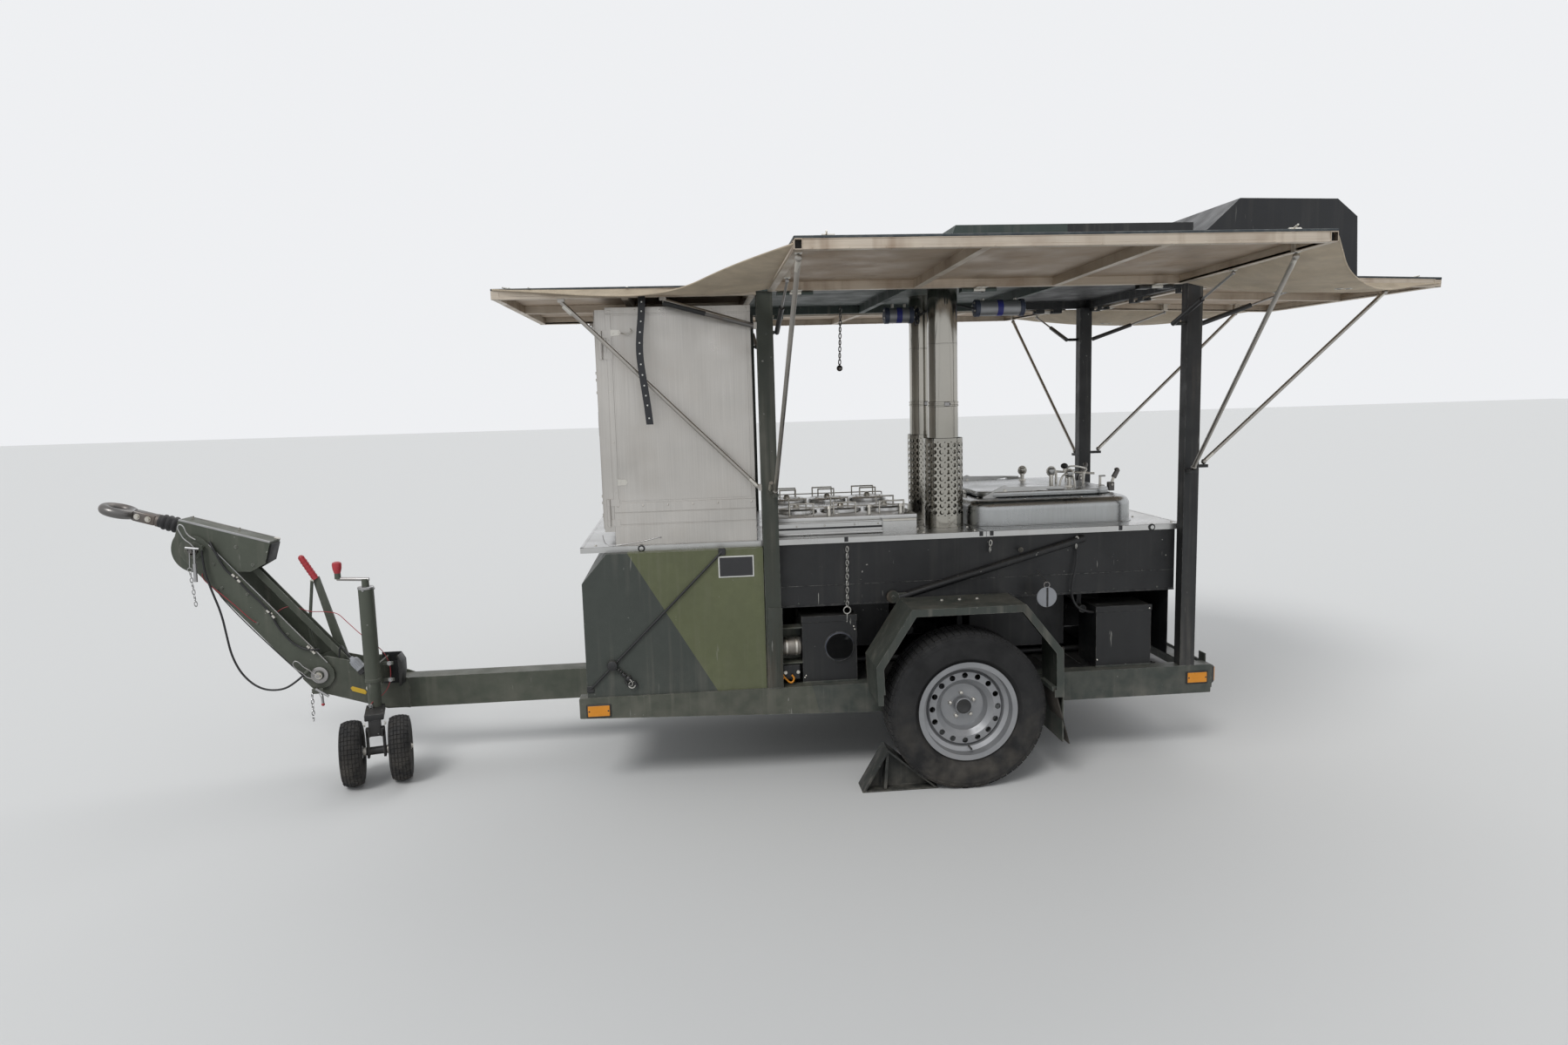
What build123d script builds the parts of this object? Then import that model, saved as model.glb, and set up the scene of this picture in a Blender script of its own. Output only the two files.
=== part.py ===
from build123d import *
import os
from math import atan2, cos, hypot, radians, sin, tan

# A military field kitchen trailer, parked on its jockey wheels with the roof flaps raised.
# Millimetres. X runs from the towing eye to the rear, Y from the left side to the right, Z up.

# Reaches from the axle, which set the overall length
EYE_REACH = 3963.0  # forward to the tip of the towing eye
REAR_REACH = 2270.0  # back to the rear flap's edge
AXLE_X = (EYE_REACH - REAR_REACH) / 2  # puts the middle of the length at X = 0

# Road wheels
TYRE_R = 352.0
TYRE_W = 205.0
BEAD_R = 203.0
FLANGE_R = 220.5
FLANGE_W = 12.0
RIM_W = 178.0  # over both flanges
WHEEL_Y = 800.0  # middle of the tyre from the centreline
RIM_HOLES = 16
RIM_HOLE_R = 13.0
RIM_HOLE_PCD_R = 148.0
DRUM_R = 132.0
STUB_R = 20.0
RUNNING = 0.05  # radial clearance of a shaft in its hole
SEAT = 0.3  # clearance between pieces that rest on each other

# Chassis
RAIL_Y = 650.0  # outer face
RAIL_W = 70.0
RAIL_TOP = 434.0
RAIL_FRONT_DEPTH = 92.0
RAIL_DEPTH = 135.0
RAIL_FRONT = AXLE_X - 1697.0
RAIL_TAPER_END = AXLE_X - 424.0
RAIL_REAR = AXLE_X + 1235.0
RAIL_WALL = 6.0
CROSS_MEMBERS = (  # middle along X, width along X
    (RAIL_FRONT + 60.0, 70.0),
    (AXLE_X - 560.0, 60.0),
    (AXLE_X + 330.0, 60.0),
    (RAIL_REAR - 60.0, 70.0),
)
CROSS_BOTTOM = RAIL_TOP - 80.0
BEAM_HALF_W = 55.0
BEAM_TOP = RAIL_TOP - 21.0
BEAM_DEPTH = 150.0
BEAM_FRONT = AXLE_X - EYE_REACH + 1263.0
BEAM_REAR = AXLE_X - 530.0
PLATE = 8.0  # plate thickness of the drawbar's cheeks

# Adjustable drawbar: pivots as (X, Z)
KNEE_BACK = 962.0  # of the towing eye's tip
HEAD_BACK = 438.0
KNEE = (AXLE_X - EYE_REACH + KNEE_BACK, 456.0)
HEAD = (AXLE_X - EYE_REACH + HEAD_BACK, 1093.0)
LINK_OFFSET = (220.0, -82.0)  # from each arm pivot to the link pivot beside it
ARM_DEPTH = 135.0
ARM_FLOOR = (162.0, 345.0)  # clear of the knee, clear of the head
CHEEK_GAP = 5.0  # between the cheeks of the drawbar and head and the arm's plates outside them
PIVOT_R = 20.0
TOOTH_DISC_R = 40.0
LINK_HALF_W = 20.0
LINK_DEPTH = 30.0
LINK_PIN_R = 10.0
LINK_FREE = 4.0  # clearance of the link's eye round its upper pin
HEAD_TILT = 17.0  # the coupling points up by this much
SHAFT_R = 25.0
EYE_BORE_R = 38.1
EYE_SECTION_R = 24.0
EYE_RING_R = 60.1
SHAFT_DROP = 84.0  # from the draught shaft's axis straight down to the head's pivot

# Jockey leg
JOCKEY_X = BEAM_FRONT - 1.0
JOCKEY_Y = -240.0
JOCKEY_TUBE_R = 35.0
JOCKEY_LEG_R = 30.0
JOCKEY_TUBE_BOTTOM = 455.0
JOCKEY_TUBE_TOP = 908.0
JOCKEY_TYRE_R = 152.5
JOCKEY_TYRE_W = 100.0
JOCKEY_SPACING = 210.0
JOCKEY_YAW = 13.5  # the wheels stand turned, with their axle nearly along the trailer
JOCKEY_TRAIL = 115.0
FORK_TOP = 334.0
FORK_BOTTOM = 120.0
BRACKET_Z = (436.0, 540.0)

# Fenders: outline of the folded sheet as (X from the axle, Z)
FENDER = ((-402.0, 408.0), (-409.0, 577.0), (-250.0, 822.0), (250.0, 822.0), (418.0, 610.0), (420.0, 402.0))
FENDER_OUT = 915.0
FENDER_SHEET = 4.0
FENDER_LIP = 32.0
MUD_FLAP_BOTTOM = 195.0

# Front cabinet under the worktop
CAB_FRONT = AXLE_X - 1660.0
CAB_REAR = AXLE_X - 860.0
CAB_HALF_W = 640.0
CAB_WALL = 20.0
CAB_CHAMFER = (110.0, 128.0)  # along X, along Z
GENERATOR_X = (CAB_FRONT + 180.0, CAB_FRONT + 620.0)
GENERATOR_HALF_W = 260.0
GENERATOR_H = 400.0

# Worktop
TOP_Z = 1100.0
TOP_THICK = 25.0
TOP_FRONT = AXLE_X - 1664.0
TOP_REAR = AXLE_X + 1117.0
TOP_HALF_W = 590.0

# Black tub that hangs under the worktop
TUB_FRONT = AXLE_X - 780.0
TUB_REAR = AXLE_X + 1078.0
TUB_HALF_W = 580.0
TUB_BOTTOM = 793.0
TUB_WALL = 4.0
TUB_BRACE = ((AXLE_X - 240.0, 812.0), (AXLE_X + 635.0, 1050.0))  # slanting tube on each side, as (X, Z)

# Oven on the front of the worktop
OVEN_FRONT = AXLE_X - 1507.0
OVEN_REAR = AXLE_X - 880.0
OVEN_HALF_W = 580.0
OVEN_TOP = 2140.0
OVEN_WALL = 40.0
OVEN_PLINTH = 90.0
DOOR_THICK = 45.0
DOOR_KNUCKLE = 60.0
KNUCKLE_GAP = 0.5
HINGE_R = 8.0
DOOR_HINGE_X = OVEN_FRONT - SEAT - DOOR_THICK / 2
DOOR_HINGE_Y = OVEN_HALF_W + HINGE_R
DOOR_HINGE_Z = (TOP_Z + 120.0, OVEN_TOP - 190.0)  # foot of each door knuckle

# Stove with its lids, and the rear kettle
STOVE = (AXLE_X - 770.0, AXLE_X - 125.0, 470.0, 1178.0)  # front, rear, half width, top
STOVE_LID_R = 98.0
KETTLE_FRONT = AXLE_X + 150.0
KETTLE_REAR = AXLE_X + 950.0
KETTLE_HALF_W = 470.0
KETTLE_TOP = 1225.0
KETTLE_BOTTOM = 830.0
KETTLE_WALL = 25.0
KETTLE_ROUND = 110.0
KETTLE_MOUTH = (AXLE_X + 240.0, AXLE_X + 860.0, 330.0)  # front, rear, half width
LID_THICK = 28.0
LID_OVERLAP = 24.0

# Flues: X, Y, outer radius of the guard round the foot
FLUES = (
    (AXLE_X + 40.0, -330.0, 92.0),
    (AXLE_X + 60.0, 150.0, 84.0),
)
FLUE_R = 70.0
FLUE_WALL = 3.0
GUARD_TOP = 1515.0
FLUE_FOOT = 6.0

# Posts, roof and flaps
POST_FRONT = AXLE_X - 857.0
POST_REAR = AXLE_X + 1081.0
POST_W = 70.0
POST_D = 58.0
ROOF_BOTTOM = 2190.0
ROOF_THICK = 44.0
ROOF_FRONT = AXLE_X - 862.0
ROOF_REAR = AXLE_X + 1158.0
ROOF_HALF_W = 660.0
SHEET = 4.0
ROOF_SHEET_Z = ROOF_BOTTOM + ROOF_THICK - SHEET
FRAME_W = 30.0
ROOF_BOX = (AXLE_X - 42.0, AXLE_X + 1150.0, 550.0, 2472.0)  # front, rear, half width, top
ROOF_BOX_SLOPE = 90.0
HINGE_OUT = 30.0  # from the roof's edge to a flap's hinge axis
HINGE_Z = 2175.0
FLAP_LIFT = 8.0  # underside of a flap above its hinge axis
SIDE_FLAP_FRONT = AXLE_X - 811.0
SIDE_FLAP_REAR = AXLE_X + 1035.0
SIDE_FLAP_REACH = 1070.0
SIDE_RAFTERS = (AXLE_X - 170.0, AXLE_X + 445.0)
SIDE_FLAP_RISE = 1.2  # degrees above level
REAR_FLAP_HALF_W = 680.0
REAR_FLAP_DROP = 1.75  # degrees below level
FRONT_FLAP_EDGE = AXLE_X - 1957.0
FRONT_FLAP_HALF_W = 720.0
FRONT_FLAP_Z = 2168.0
STAY_R = 9.0
STRUT_R = 11.0
STRUT_ROD_R = 5.0


def block(x, y, z, mode=Mode.ADD):
    """A plain block between a pair of limits along each axis."""
    with Locations([((x[0] + x[1]) / 2, (y[0] + y[1]) / 2, (z[0] + z[1]) / 2)]):
        Box(x[1] - x[0], y[1] - y[0], z[1] - z[0], mode=mode)


def bar(start, end, radius, mode=Mode.ADD):
    """A round bar between two points."""
    run = Vector(*end) - Vector(*start)
    with BuildSketch(Plane(origin=start, z_dir=run.normalized())) as section:
        Circle(radius)
    extrude(section.sketch, amount=run.length, mode=mode)


def cross_plate(points, y_from, y_to, mode=Mode.ADD, rounding=0.0):
    """An outline in X and Z, extruded across the trailer from one Y to another."""
    with BuildSketch(Plane.XZ.offset(-y_from)) as outline:
        with BuildLine():
            Polyline(*points, close=True)
        make_face()
        if rounding:
            fillet(outline.vertices(), rounding)
    extrude(outline.sketch, amount=y_from - y_to, mode=mode)


def across(y_from, y_to):
    """The same span on the left and on the right of the centreline."""
    return ((-y_to, -y_from), (y_from, y_to))


def save(piece, name):
    """Label a finished piece and write it to its own file."""
    piece.part.label = name
    export_step(piece.part, f"parts/{name}.step")


os.makedirs("parts", exist_ok=True)

# Chassis: two tapered channel rails, open inwards
with BuildPart() as side_rails:
    rail = (
        (RAIL_FRONT, RAIL_TOP),
        (RAIL_REAR, RAIL_TOP),
        (RAIL_REAR, RAIL_TOP - RAIL_DEPTH),
        (RAIL_TAPER_END, RAIL_TOP - RAIL_DEPTH),
        (RAIL_FRONT, RAIL_TOP - RAIL_FRONT_DEPTH),
    )
    channel = (
        (RAIL_FRONT + RAIL_WALL, RAIL_TOP - RAIL_WALL),
        (RAIL_REAR - RAIL_WALL, RAIL_TOP - RAIL_WALL),
        (RAIL_REAR - RAIL_WALL, RAIL_TOP - RAIL_DEPTH + RAIL_WALL),
        (RAIL_TAPER_END, RAIL_TOP - RAIL_DEPTH + RAIL_WALL),
        (RAIL_FRONT + RAIL_WALL, RAIL_TOP - RAIL_FRONT_DEPTH + RAIL_WALL),
    )
    for side in (-1, 1):
        cross_plate(rail, side * (RAIL_Y - RAIL_W), side * RAIL_Y, rounding=5.0)
        cross_plate(channel, side * (RAIL_Y - RAIL_W), side * (RAIL_Y - RAIL_WALL), Mode.SUBTRACT)
save(side_rails, "side_rails")

with BuildPart() as cross_members:
    for middle, width in CROSS_MEMBERS:
        block(
            (middle - width / 2, middle + width / 2),
            (RAIL_W - RAIL_Y, RAIL_Y - RAIL_W),
            (BEAM_TOP, RAIL_TOP - RAIL_WALL),
        )
save(cross_members, "cross_members")

# Drawbar: a box beam under the cross-members with two cheeks that hold the arm
with BuildPart() as drawbar:
    block((BEAM_FRONT, BEAM_REAR), (-BEAM_HALF_W, BEAM_HALF_W), (BEAM_TOP - BEAM_DEPTH, BEAM_TOP))
    block(
        (BEAM_FRONT + PLATE, BEAM_REAR - PLATE),
        (PLATE - BEAM_HALF_W, BEAM_HALF_W - PLATE),
        (BEAM_TOP - BEAM_DEPTH + PLATE, BEAM_TOP - PLATE),
        Mode.SUBTRACT,
    )
    cheek = (
        (BEAM_FRONT + 110.0, BEAM_TOP),
        (BEAM_FRONT - 40.0, BEAM_TOP + 58.0),
        (KNEE[0] + 183.0, KNEE[1] + 48.0),
        (KNEE[0] + 31.0, KNEE[1] + 88.0),
        (KNEE[0] - 70.0, KNEE[1] + 58.0),
        (KNEE[0] - 88.0, KNEE[1] - 20.0),
        (KNEE[0] - 30.0, KNEE[1] - 88.0),
        (BEAM_FRONT - 10.0, BEAM_TOP - BEAM_DEPTH + 14.0),
        (BEAM_FRONT + 110.0, BEAM_TOP - BEAM_DEPTH),
    )
    for side in (-1, 1):
        cross_plate(cheek, side * BEAM_HALF_W, side * (BEAM_HALF_W + PLATE))
    link_pin = (KNEE[0] + LINK_OFFSET[0], KNEE[1] + LINK_OFFSET[1])
    floor = (
        (KNEE[0] + 60.0, KNEE[1] - 109.0),
        (BEAM_FRONT, BEAM_TOP - BEAM_DEPTH + 8.0),
        (BEAM_FRONT, BEAM_TOP - BEAM_DEPTH),
        (KNEE[0] + 60.0, KNEE[1] - 117.0),
    )
    cross_plate(floor, -BEAM_HALF_W, BEAM_HALF_W)
    bar((link_pin[0], -BEAM_HALF_W, link_pin[1]), (link_pin[0], BEAM_HALF_W, link_pin[1]), LINK_PIN_R)
    for side in (-1, 1):
        bar(
            (KNEE[0], side * BEAM_HALF_W, KNEE[1]),
            (KNEE[0], side * (BEAM_HALF_W + PLATE), KNEE[1]),
            PIVOT_R + RUNNING,
            Mode.SUBTRACT,
        )
save(drawbar, "drawbar")

# Axle: a square torsion tube under the rails, with trailing arms, brake plates and stub axles
TUBE_X = AXLE_X - 150.0
TUBE_HALF = 35.0
TUBE_Z = RAIL_TOP - RAIL_DEPTH - TUBE_HALF - SEAT
ARM_IN = RAIL_Y + 4.0
ARM_OUT = ARM_IN + 14.0
BRAKE_PLATE_OUT = ARM_OUT + 10.0
DRUM_IN = BRAKE_PLATE_OUT + 3.0
STUB_END = WHEEL_Y - 4.0
with BuildPart() as axle_beam:
    block((TUBE_X - TUBE_HALF, TUBE_X + TUBE_HALF), (-ARM_IN, ARM_IN), (TUBE_Z - TUBE_HALF, TUBE_Z + TUBE_HALF))
    for side in (-1, 1):
        trailing = (
            (TUBE_X - 45.0, TUBE_Z + 40.0),
            (TUBE_X - 45.0, TUBE_Z - 45.0),
            (TUBE_X + 40.0, TUBE_Z - 45.0),
            (AXLE_X + 45.0, TYRE_R - 20.0),
            (AXLE_X + 10.0, TYRE_R + 45.0),
            (AXLE_X - 40.0, TYRE_R + 30.0),
        )
        cross_plate(trailing, side * ARM_IN, side * ARM_OUT)
        for start, end, radius in (
            (ARM_OUT - 4.0, BRAKE_PLATE_OUT, DRUM_R),
            (BRAKE_PLATE_OUT - 4.0, STUB_END, STUB_R),
        ):
            bar((AXLE_X, side * start, TYRE_R), (AXLE_X, side * end, TYRE_R), radius)
save(axle_beam, "axle_beam")

# Fenders of folded sheet with an outer lip, each with its rubber flap
FENDER_LAYERS = (  # inner and outer Y of the layer, width of the sheet seen from the side
    (RAIL_Y + SEAT, FENDER_OUT - FENDER_SHEET, FENDER_SHEET),
    (FENDER_OUT - FENDER_SHEET, FENDER_OUT, FENDER_LIP),
)
with BuildPart() as fenders:
    for side in (-1, 1):
        for inner_y, outer_y, width in FENDER_LAYERS:
            with BuildSketch(Plane.XZ.offset(-side * inner_y)) as ribbon:
                with BuildLine():
                    Polyline(*[(AXLE_X + x, z) for x, z in FENDER], close=True)
                make_face()
                offset(amount=-width, kind=Kind.INTERSECTION, mode=Mode.SUBTRACT)
                with Locations((AXLE_X, FENDER[0][1])):
                    Rectangle(FENDER[-1][0] - FENDER[0][0] - 2 * width, 3 * width, mode=Mode.SUBTRACT)
            extrude(ribbon.sketch, amount=side * (inner_y - outer_y))
        rubber_x = AXLE_X + FENDER[-1][0]
        block(
            (rubber_x - 3.0, rubber_x + 3.0),
            sorted((side * (RAIL_Y + 20.0), side * (FENDER_OUT - 10.0))),
            (MUD_FLAP_BOTTOM, FENDER[-1][1] + 90.0),
        )
save(fenders, "fenders")

# Front cabinet: a closed sheet box with its front edge cut back, round the generator
with BuildPart() as front_cabinet:
    cabinet = (
        (CAB_FRONT, RAIL_TOP),
        (CAB_REAR, RAIL_TOP),
        (CAB_REAR, TOP_Z - TOP_THICK),
        (CAB_FRONT + CAB_CHAMFER[0], TOP_Z - TOP_THICK),
        (CAB_FRONT, TOP_Z - TOP_THICK - CAB_CHAMFER[1]),
    )
    cross_plate(cabinet, -CAB_HALF_W, CAB_HALF_W)
    room = (
        (CAB_FRONT + CAB_WALL, RAIL_TOP + CAB_WALL),
        (CAB_REAR - CAB_WALL, RAIL_TOP + CAB_WALL),
        (CAB_REAR - CAB_WALL, TOP_Z - TOP_THICK - CAB_WALL),
        (CAB_FRONT + CAB_CHAMFER[0] + CAB_WALL, TOP_Z - TOP_THICK - CAB_WALL),
        (CAB_FRONT + CAB_WALL, TOP_Z - TOP_THICK - CAB_CHAMFER[1] - CAB_WALL),
    )
    cross_plate(room, CAB_WALL - CAB_HALF_W, CAB_HALF_W - CAB_WALL, Mode.SUBTRACT)
    cabinet_floor = RAIL_TOP + CAB_WALL
    block(GENERATOR_X, (-GENERATOR_HALF_W, GENERATOR_HALF_W), (cabinet_floor, cabinet_floor + GENERATOR_H))
save(front_cabinet, "front_cabinet")

# Tub with the two burner housings below it; flues and kettle stand in it
BURNERS = (  # front, rear, half width, bottom
    (AXLE_X - 640.0, AXLE_X - 230.0, 300.0, 520.0),
    (AXLE_X + 150.0, AXLE_X + 620.0, 380.0, 500.0),
)
with BuildPart() as kitchen_tub:
    block((TUB_FRONT, TUB_REAR), (-TUB_HALF_W, TUB_HALF_W), (TUB_BOTTOM, TOP_Z - TOP_THICK))
    block(
        (TUB_FRONT + TUB_WALL, TUB_REAR - TUB_WALL),
        (TUB_WALL - TUB_HALF_W, TUB_HALF_W - TUB_WALL),
        (TUB_BOTTOM + TUB_WALL, TOP_Z - TOP_THICK),
        Mode.SUBTRACT,
    )
    for front, rear, half, bottom in BURNERS:
        block((front, rear), (-half, half), (bottom, TUB_BOTTOM))
    for side in (-1, 1):
        (x0, z0), (x1, z1) = TUB_BRACE
        bar((x0, side * (TUB_HALF_W + 12.0), z0), (x1, side * (TUB_HALF_W + 12.0), z1), 17.0)
save(kitchen_tub, "kitchen_tub")

# Worktop sheet with openings for the stove and the kettle
with BuildPart() as worktop:
    block((TOP_FRONT, TOP_REAR), (-TOP_HALF_W, TOP_HALF_W), (TOP_Z - TOP_THICK, TOP_Z))
    block(
        (STOVE[0] - SEAT, STOVE[1] + SEAT),
        (-STOVE[2] - SEAT, STOVE[2] + SEAT),
        (TOP_Z - TOP_THICK, TOP_Z),
        Mode.SUBTRACT,
    )
    with BuildSketch(Plane.XY.offset(TOP_Z)) as opening:
        with Locations(((KETTLE_FRONT + KETTLE_REAR) / 2, 0)):
            RectangleRounded(
                KETTLE_REAR - KETTLE_FRONT + 2 * SEAT, 2 * (KETTLE_HALF_W + SEAT), KETTLE_ROUND + SEAT
            )
    extrude(opening.sketch, amount=-TOP_THICK, mode=Mode.SUBTRACT)
save(worktop, "worktop")

# Oven: insulated walls, open at the front behind two doors, with one shelf rack each side
with BuildPart() as oven:
    block((OVEN_FRONT, OVEN_REAR), (-OVEN_HALF_W, OVEN_HALF_W), (TOP_Z, OVEN_TOP))
    block(
        (OVEN_FRONT, OVEN_REAR - OVEN_WALL),
        (OVEN_WALL - OVEN_HALF_W, OVEN_HALF_W - OVEN_WALL),
        (TOP_Z + OVEN_PLINTH, OVEN_TOP - OVEN_WALL),
        Mode.SUBTRACT,
    )
    for side in (-1, 1):
        for low in DOOR_HINGE_Z:
            for start in (low - KNUCKLE_GAP - DOOR_KNUCKLE / 2, low + DOOR_KNUCKLE + KNUCKLE_GAP):
                end = start + DOOR_KNUCKLE / 2
                bar((DOOR_HINGE_X, side * DOOR_HINGE_Y, start), (DOOR_HINGE_X, side * DOOR_HINGE_Y, end), HINGE_R)
                block(
                    (DOOR_HINGE_X, OVEN_FRONT + 25.0),
                    sorted((side * (OVEN_HALF_W - 1.0), side * (OVEN_HALF_W + 4.0))),
                    (start, end),
                )
save(oven, "oven")

for name, side in (("left", -1), ("right", 1)):
    with BuildPart() as door:
        block(
            (OVEN_FRONT - SEAT - DOOR_THICK, OVEN_FRONT - SEAT),
            sorted((side * 3.0, side * (OVEN_HALF_W - 2.0))),
            (TOP_Z + OVEN_PLINTH - 25.0, OVEN_TOP - 10.0),
        )
        hinge_y = side * DOOR_HINGE_Y
        for low in DOOR_HINGE_Z:
            bar((DOOR_HINGE_X, hinge_y, low), (DOOR_HINGE_X, hinge_y, low + DOOR_KNUCKLE), HINGE_R)
            block(
                (DOOR_HINGE_X - 3.0, DOOR_HINGE_X + 3.0),
                sorted((side * (OVEN_HALF_W - 20.0), hinge_y)),
                (low, low + DOOR_KNUCKLE),
            )
    save(door, f"oven_door_{name}")

# Stove block with three lift-off lids
with BuildPart() as stove:
    block((STOVE[0], STOVE[1]), (-STOVE[2], STOVE[2]), (TUB_BOTTOM + 60.0, STOVE[3]))
    lid_pitch = (STOVE[1] - STOVE[0]) / 3
    for row in range(3):
        lid_x = STOVE[0] + lid_pitch * (row + 0.5)
        bar((lid_x, -STOVE[2] / 2, STOVE[3]), (lid_x, -STOVE[2] / 2, STOVE[3] + 18.0), STOVE_LID_R)
save(stove, "stove")

# Rear kettle: a rounded double-walled pan, and its lid hinged at the front
with BuildPart() as kettle:
    middle = (KETTLE_FRONT + KETTLE_REAR) / 2
    with BuildSketch(Plane.XY.offset(KETTLE_BOTTOM)) as body:
        with Locations((middle, 0)):
            RectangleRounded(KETTLE_REAR - KETTLE_FRONT, 2 * KETTLE_HALF_W, KETTLE_ROUND)
    extrude(body.sketch, amount=KETTLE_TOP - KETTLE_BOTTOM)
    fillet(kettle.faces().sort_by(Axis.Z)[-1].edges(), 30.0)
    mouth_middle = (KETTLE_MOUTH[0] + KETTLE_MOUTH[1]) / 2
    with BuildSketch(Plane.XY.offset(KETTLE_BOTTOM + KETTLE_WALL)) as mouth:
        with Locations((mouth_middle, 0)):
            RectangleRounded(KETTLE_MOUTH[1] - KETTLE_MOUTH[0], 2 * KETTLE_MOUTH[2], 80.0)
    extrude(mouth.sketch, amount=KETTLE_TOP - KETTLE_BOTTOM, mode=Mode.SUBTRACT)
    kettle_hinge = (KETTLE_MOUTH[0] - LID_OVERLAP - 26.0, KETTLE_TOP + 14.0)
    for low in (-170.0, 110.0):
        block(
            (kettle_hinge[0] - 12.0, kettle_hinge[0] + 8.0),
            (low, low + 60.0),
            (KETTLE_TOP - 4.0, kettle_hinge[1]),
        )
        bar((kettle_hinge[0], low, kettle_hinge[1]), (kettle_hinge[0], low + 60.0, kettle_hinge[1]), HINGE_R)
save(kettle, "kettle")

with BuildPart() as kettle_lid:
    with BuildSketch(Plane.XY.offset(KETTLE_TOP + SEAT)) as lid:
        with Locations((mouth_middle, 0)):
            RectangleRounded(
                KETTLE_MOUTH[1] - KETTLE_MOUTH[0] + 2 * LID_OVERLAP,
                2 * (KETTLE_MOUTH[2] + LID_OVERLAP),
                80.0 + LID_OVERLAP,
            )
    extrude(lid.sketch, amount=LID_THICK)
    fillet(kettle_lid.faces().sort_by(Axis.Z)[-1].edges(), 12.0)
    for low in (-108.0, 48.0):
        bar((kettle_hinge[0], low, kettle_hinge[1]), (kettle_hinge[0], low + 60.0, kettle_hinge[1]), HINGE_R)
        block(
            (kettle_hinge[0], KETTLE_MOUTH[0] + 10.0),
            (low, low + 60.0),
            (kettle_hinge[1] - 3.0, kettle_hinge[1] + 3.0),
        )
save(kettle_lid, "kettle_lid")

# Two flues up to the roof, each in a guard tube with an air gap
with BuildPart() as flues:
    for x, y, guard_r in FLUES:
        for outer, inner, top in (
            (FLUE_R, FLUE_R - FLUE_WALL, ROOF_SHEET_Z - SEAT),
            (guard_r, guard_r - FLUE_WALL, GUARD_TOP),
            (guard_r, FLUE_R - FLUE_WALL, TOP_Z + FLUE_FOOT),
        ):
            with BuildSketch(Plane.XY.offset(TOP_Z)) as ring:
                with Locations((x, y)):
                    Circle(outer)
                    Circle(inner, mode=Mode.SUBTRACT)
            extrude(ring.sketch, amount=top - TOP_Z)
save(flues, "flues")

# Boxes on the left side under the tub: fuel tank with its cap, silencer, electric box
with BuildPart() as side_boxes:
    block((AXLE_X - 690.0, AXLE_X - 440.0), (-600.0, -330.0), (RAIL_TOP, 742.0))
    bar((AXLE_X - 520.0, -600.0, 599.0), (AXLE_X - 520.0, -612.0, 599.0), 64.0)
    bar((AXLE_X - 690.0, -540.0, 610.0), (AXLE_X - 765.0, -540.0, 610.0), 30.0)
    block((AXLE_X + 694.0, AXLE_X + 960.0), (-600.0, -392.0), (RAIL_TOP, 722.0))
save(side_boxes, "side_boxes")

# Posts, standing on the rails, with shelves under the stays' feet and studs for the gas struts
BALL_R = 12.0  # ends of the stays
EYE_R = 8.0  # ends of the gas struts' rods
SIDE_FOOT = (  # X, |Y| and Z of the ball, then how far the shelf reaches past it
    (POST_FRONT + 57.0, 690.0, 1330.0, 2.0),
    (POST_REAR + 19.0, 700.0, 1370.0, 14.0),
)
BACK_FOOT = (POST_REAR + POST_W + 49.0, 600.0, 1386.0)
SHELF = 14.0
STRUT_Z = 2015.0
SIDE_STRUT_Y = 636.0
REAR_STRUT_Y = 620.0
SIDE_STRUT_X = (POST_FRONT + POST_W + 17.0, SIDE_FLAP_REAR - 15.0)
REAR_STRUT_X = POST_REAR + POST_W + 15.0
with BuildPart() as posts:
    for front in (POST_FRONT, POST_REAR):
        for span in across(RAIL_Y - POST_D, RAIL_Y):
            block((front, front + POST_W), span, (RAIL_TOP, ROOF_BOTTOM))
    for side in (-1, 1):
        for x, y, z, past in SIDE_FOOT:
            top = z - BALL_R - SEAT
            block((x - 14.0, x + 13.0), sorted((side * RAIL_Y, side * (y + past))), (top - SHELF, top))
        x, y, z = BACK_FOOT
        top = z - BALL_R - SEAT
        block((POST_REAR + POST_W, x + 14.0), sorted((side * (y - 8.0), side * (y + 16.0))), (top - SHELF, top))
        for x, root in zip(SIDE_STRUT_X, (POST_FRONT + POST_W, POST_REAR)):
            reach = x + (STRUT_R + SEAT) * (-1 if root < x else 1)
            bar((root, side * SIDE_STRUT_Y, STRUT_Z), (reach, side * SIDE_STRUT_Y, STRUT_Z), EYE_R)
        bar(
            (POST_REAR + POST_W, side * REAR_STRUT_Y, STRUT_Z),
            (REAR_STRUT_X - STRUT_R - SEAT, side * REAR_STRUT_Y, STRUT_Z),
            EYE_R,
        )
save(posts, "posts")


def flap_panel(reach, half_width, rafters):
    """A flap in its hinge's frame: a sheet on a frame of bars, with rafters across at places along the hinge."""
    with Locations((0, 0, FLAP_LIFT)):
        Box(reach, 2 * half_width, ROOF_THICK, align=(Align.MIN, Align.CENTER, Align.MIN))
    stops = [-half_width + FRAME_W / 2, *sorted(rafters), half_width - FRAME_W / 2]
    for near, far in zip(stops, stops[1:]):
        with Locations((FRAME_W, near + FRAME_W / 2, FLAP_LIFT)):
            Box(
                reach - 2 * FRAME_W,
                far - near - FRAME_W,
                ROOF_THICK - SHEET,
                align=Align.MIN,
                mode=Mode.SUBTRACT,
            )


def lugs(spots, below):
    """Small blocks under a flap, each over the ball or eye that hangs from it."""
    sheet = FLAP_LIFT + ROOF_THICK - SHEET + 1.0
    for out, along in spots:
        with Locations((out, along, sheet)):
            Box(26.0, 26.0, sheet - below, align=(Align.CENTER, Align.CENTER, Align.MAX))


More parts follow.
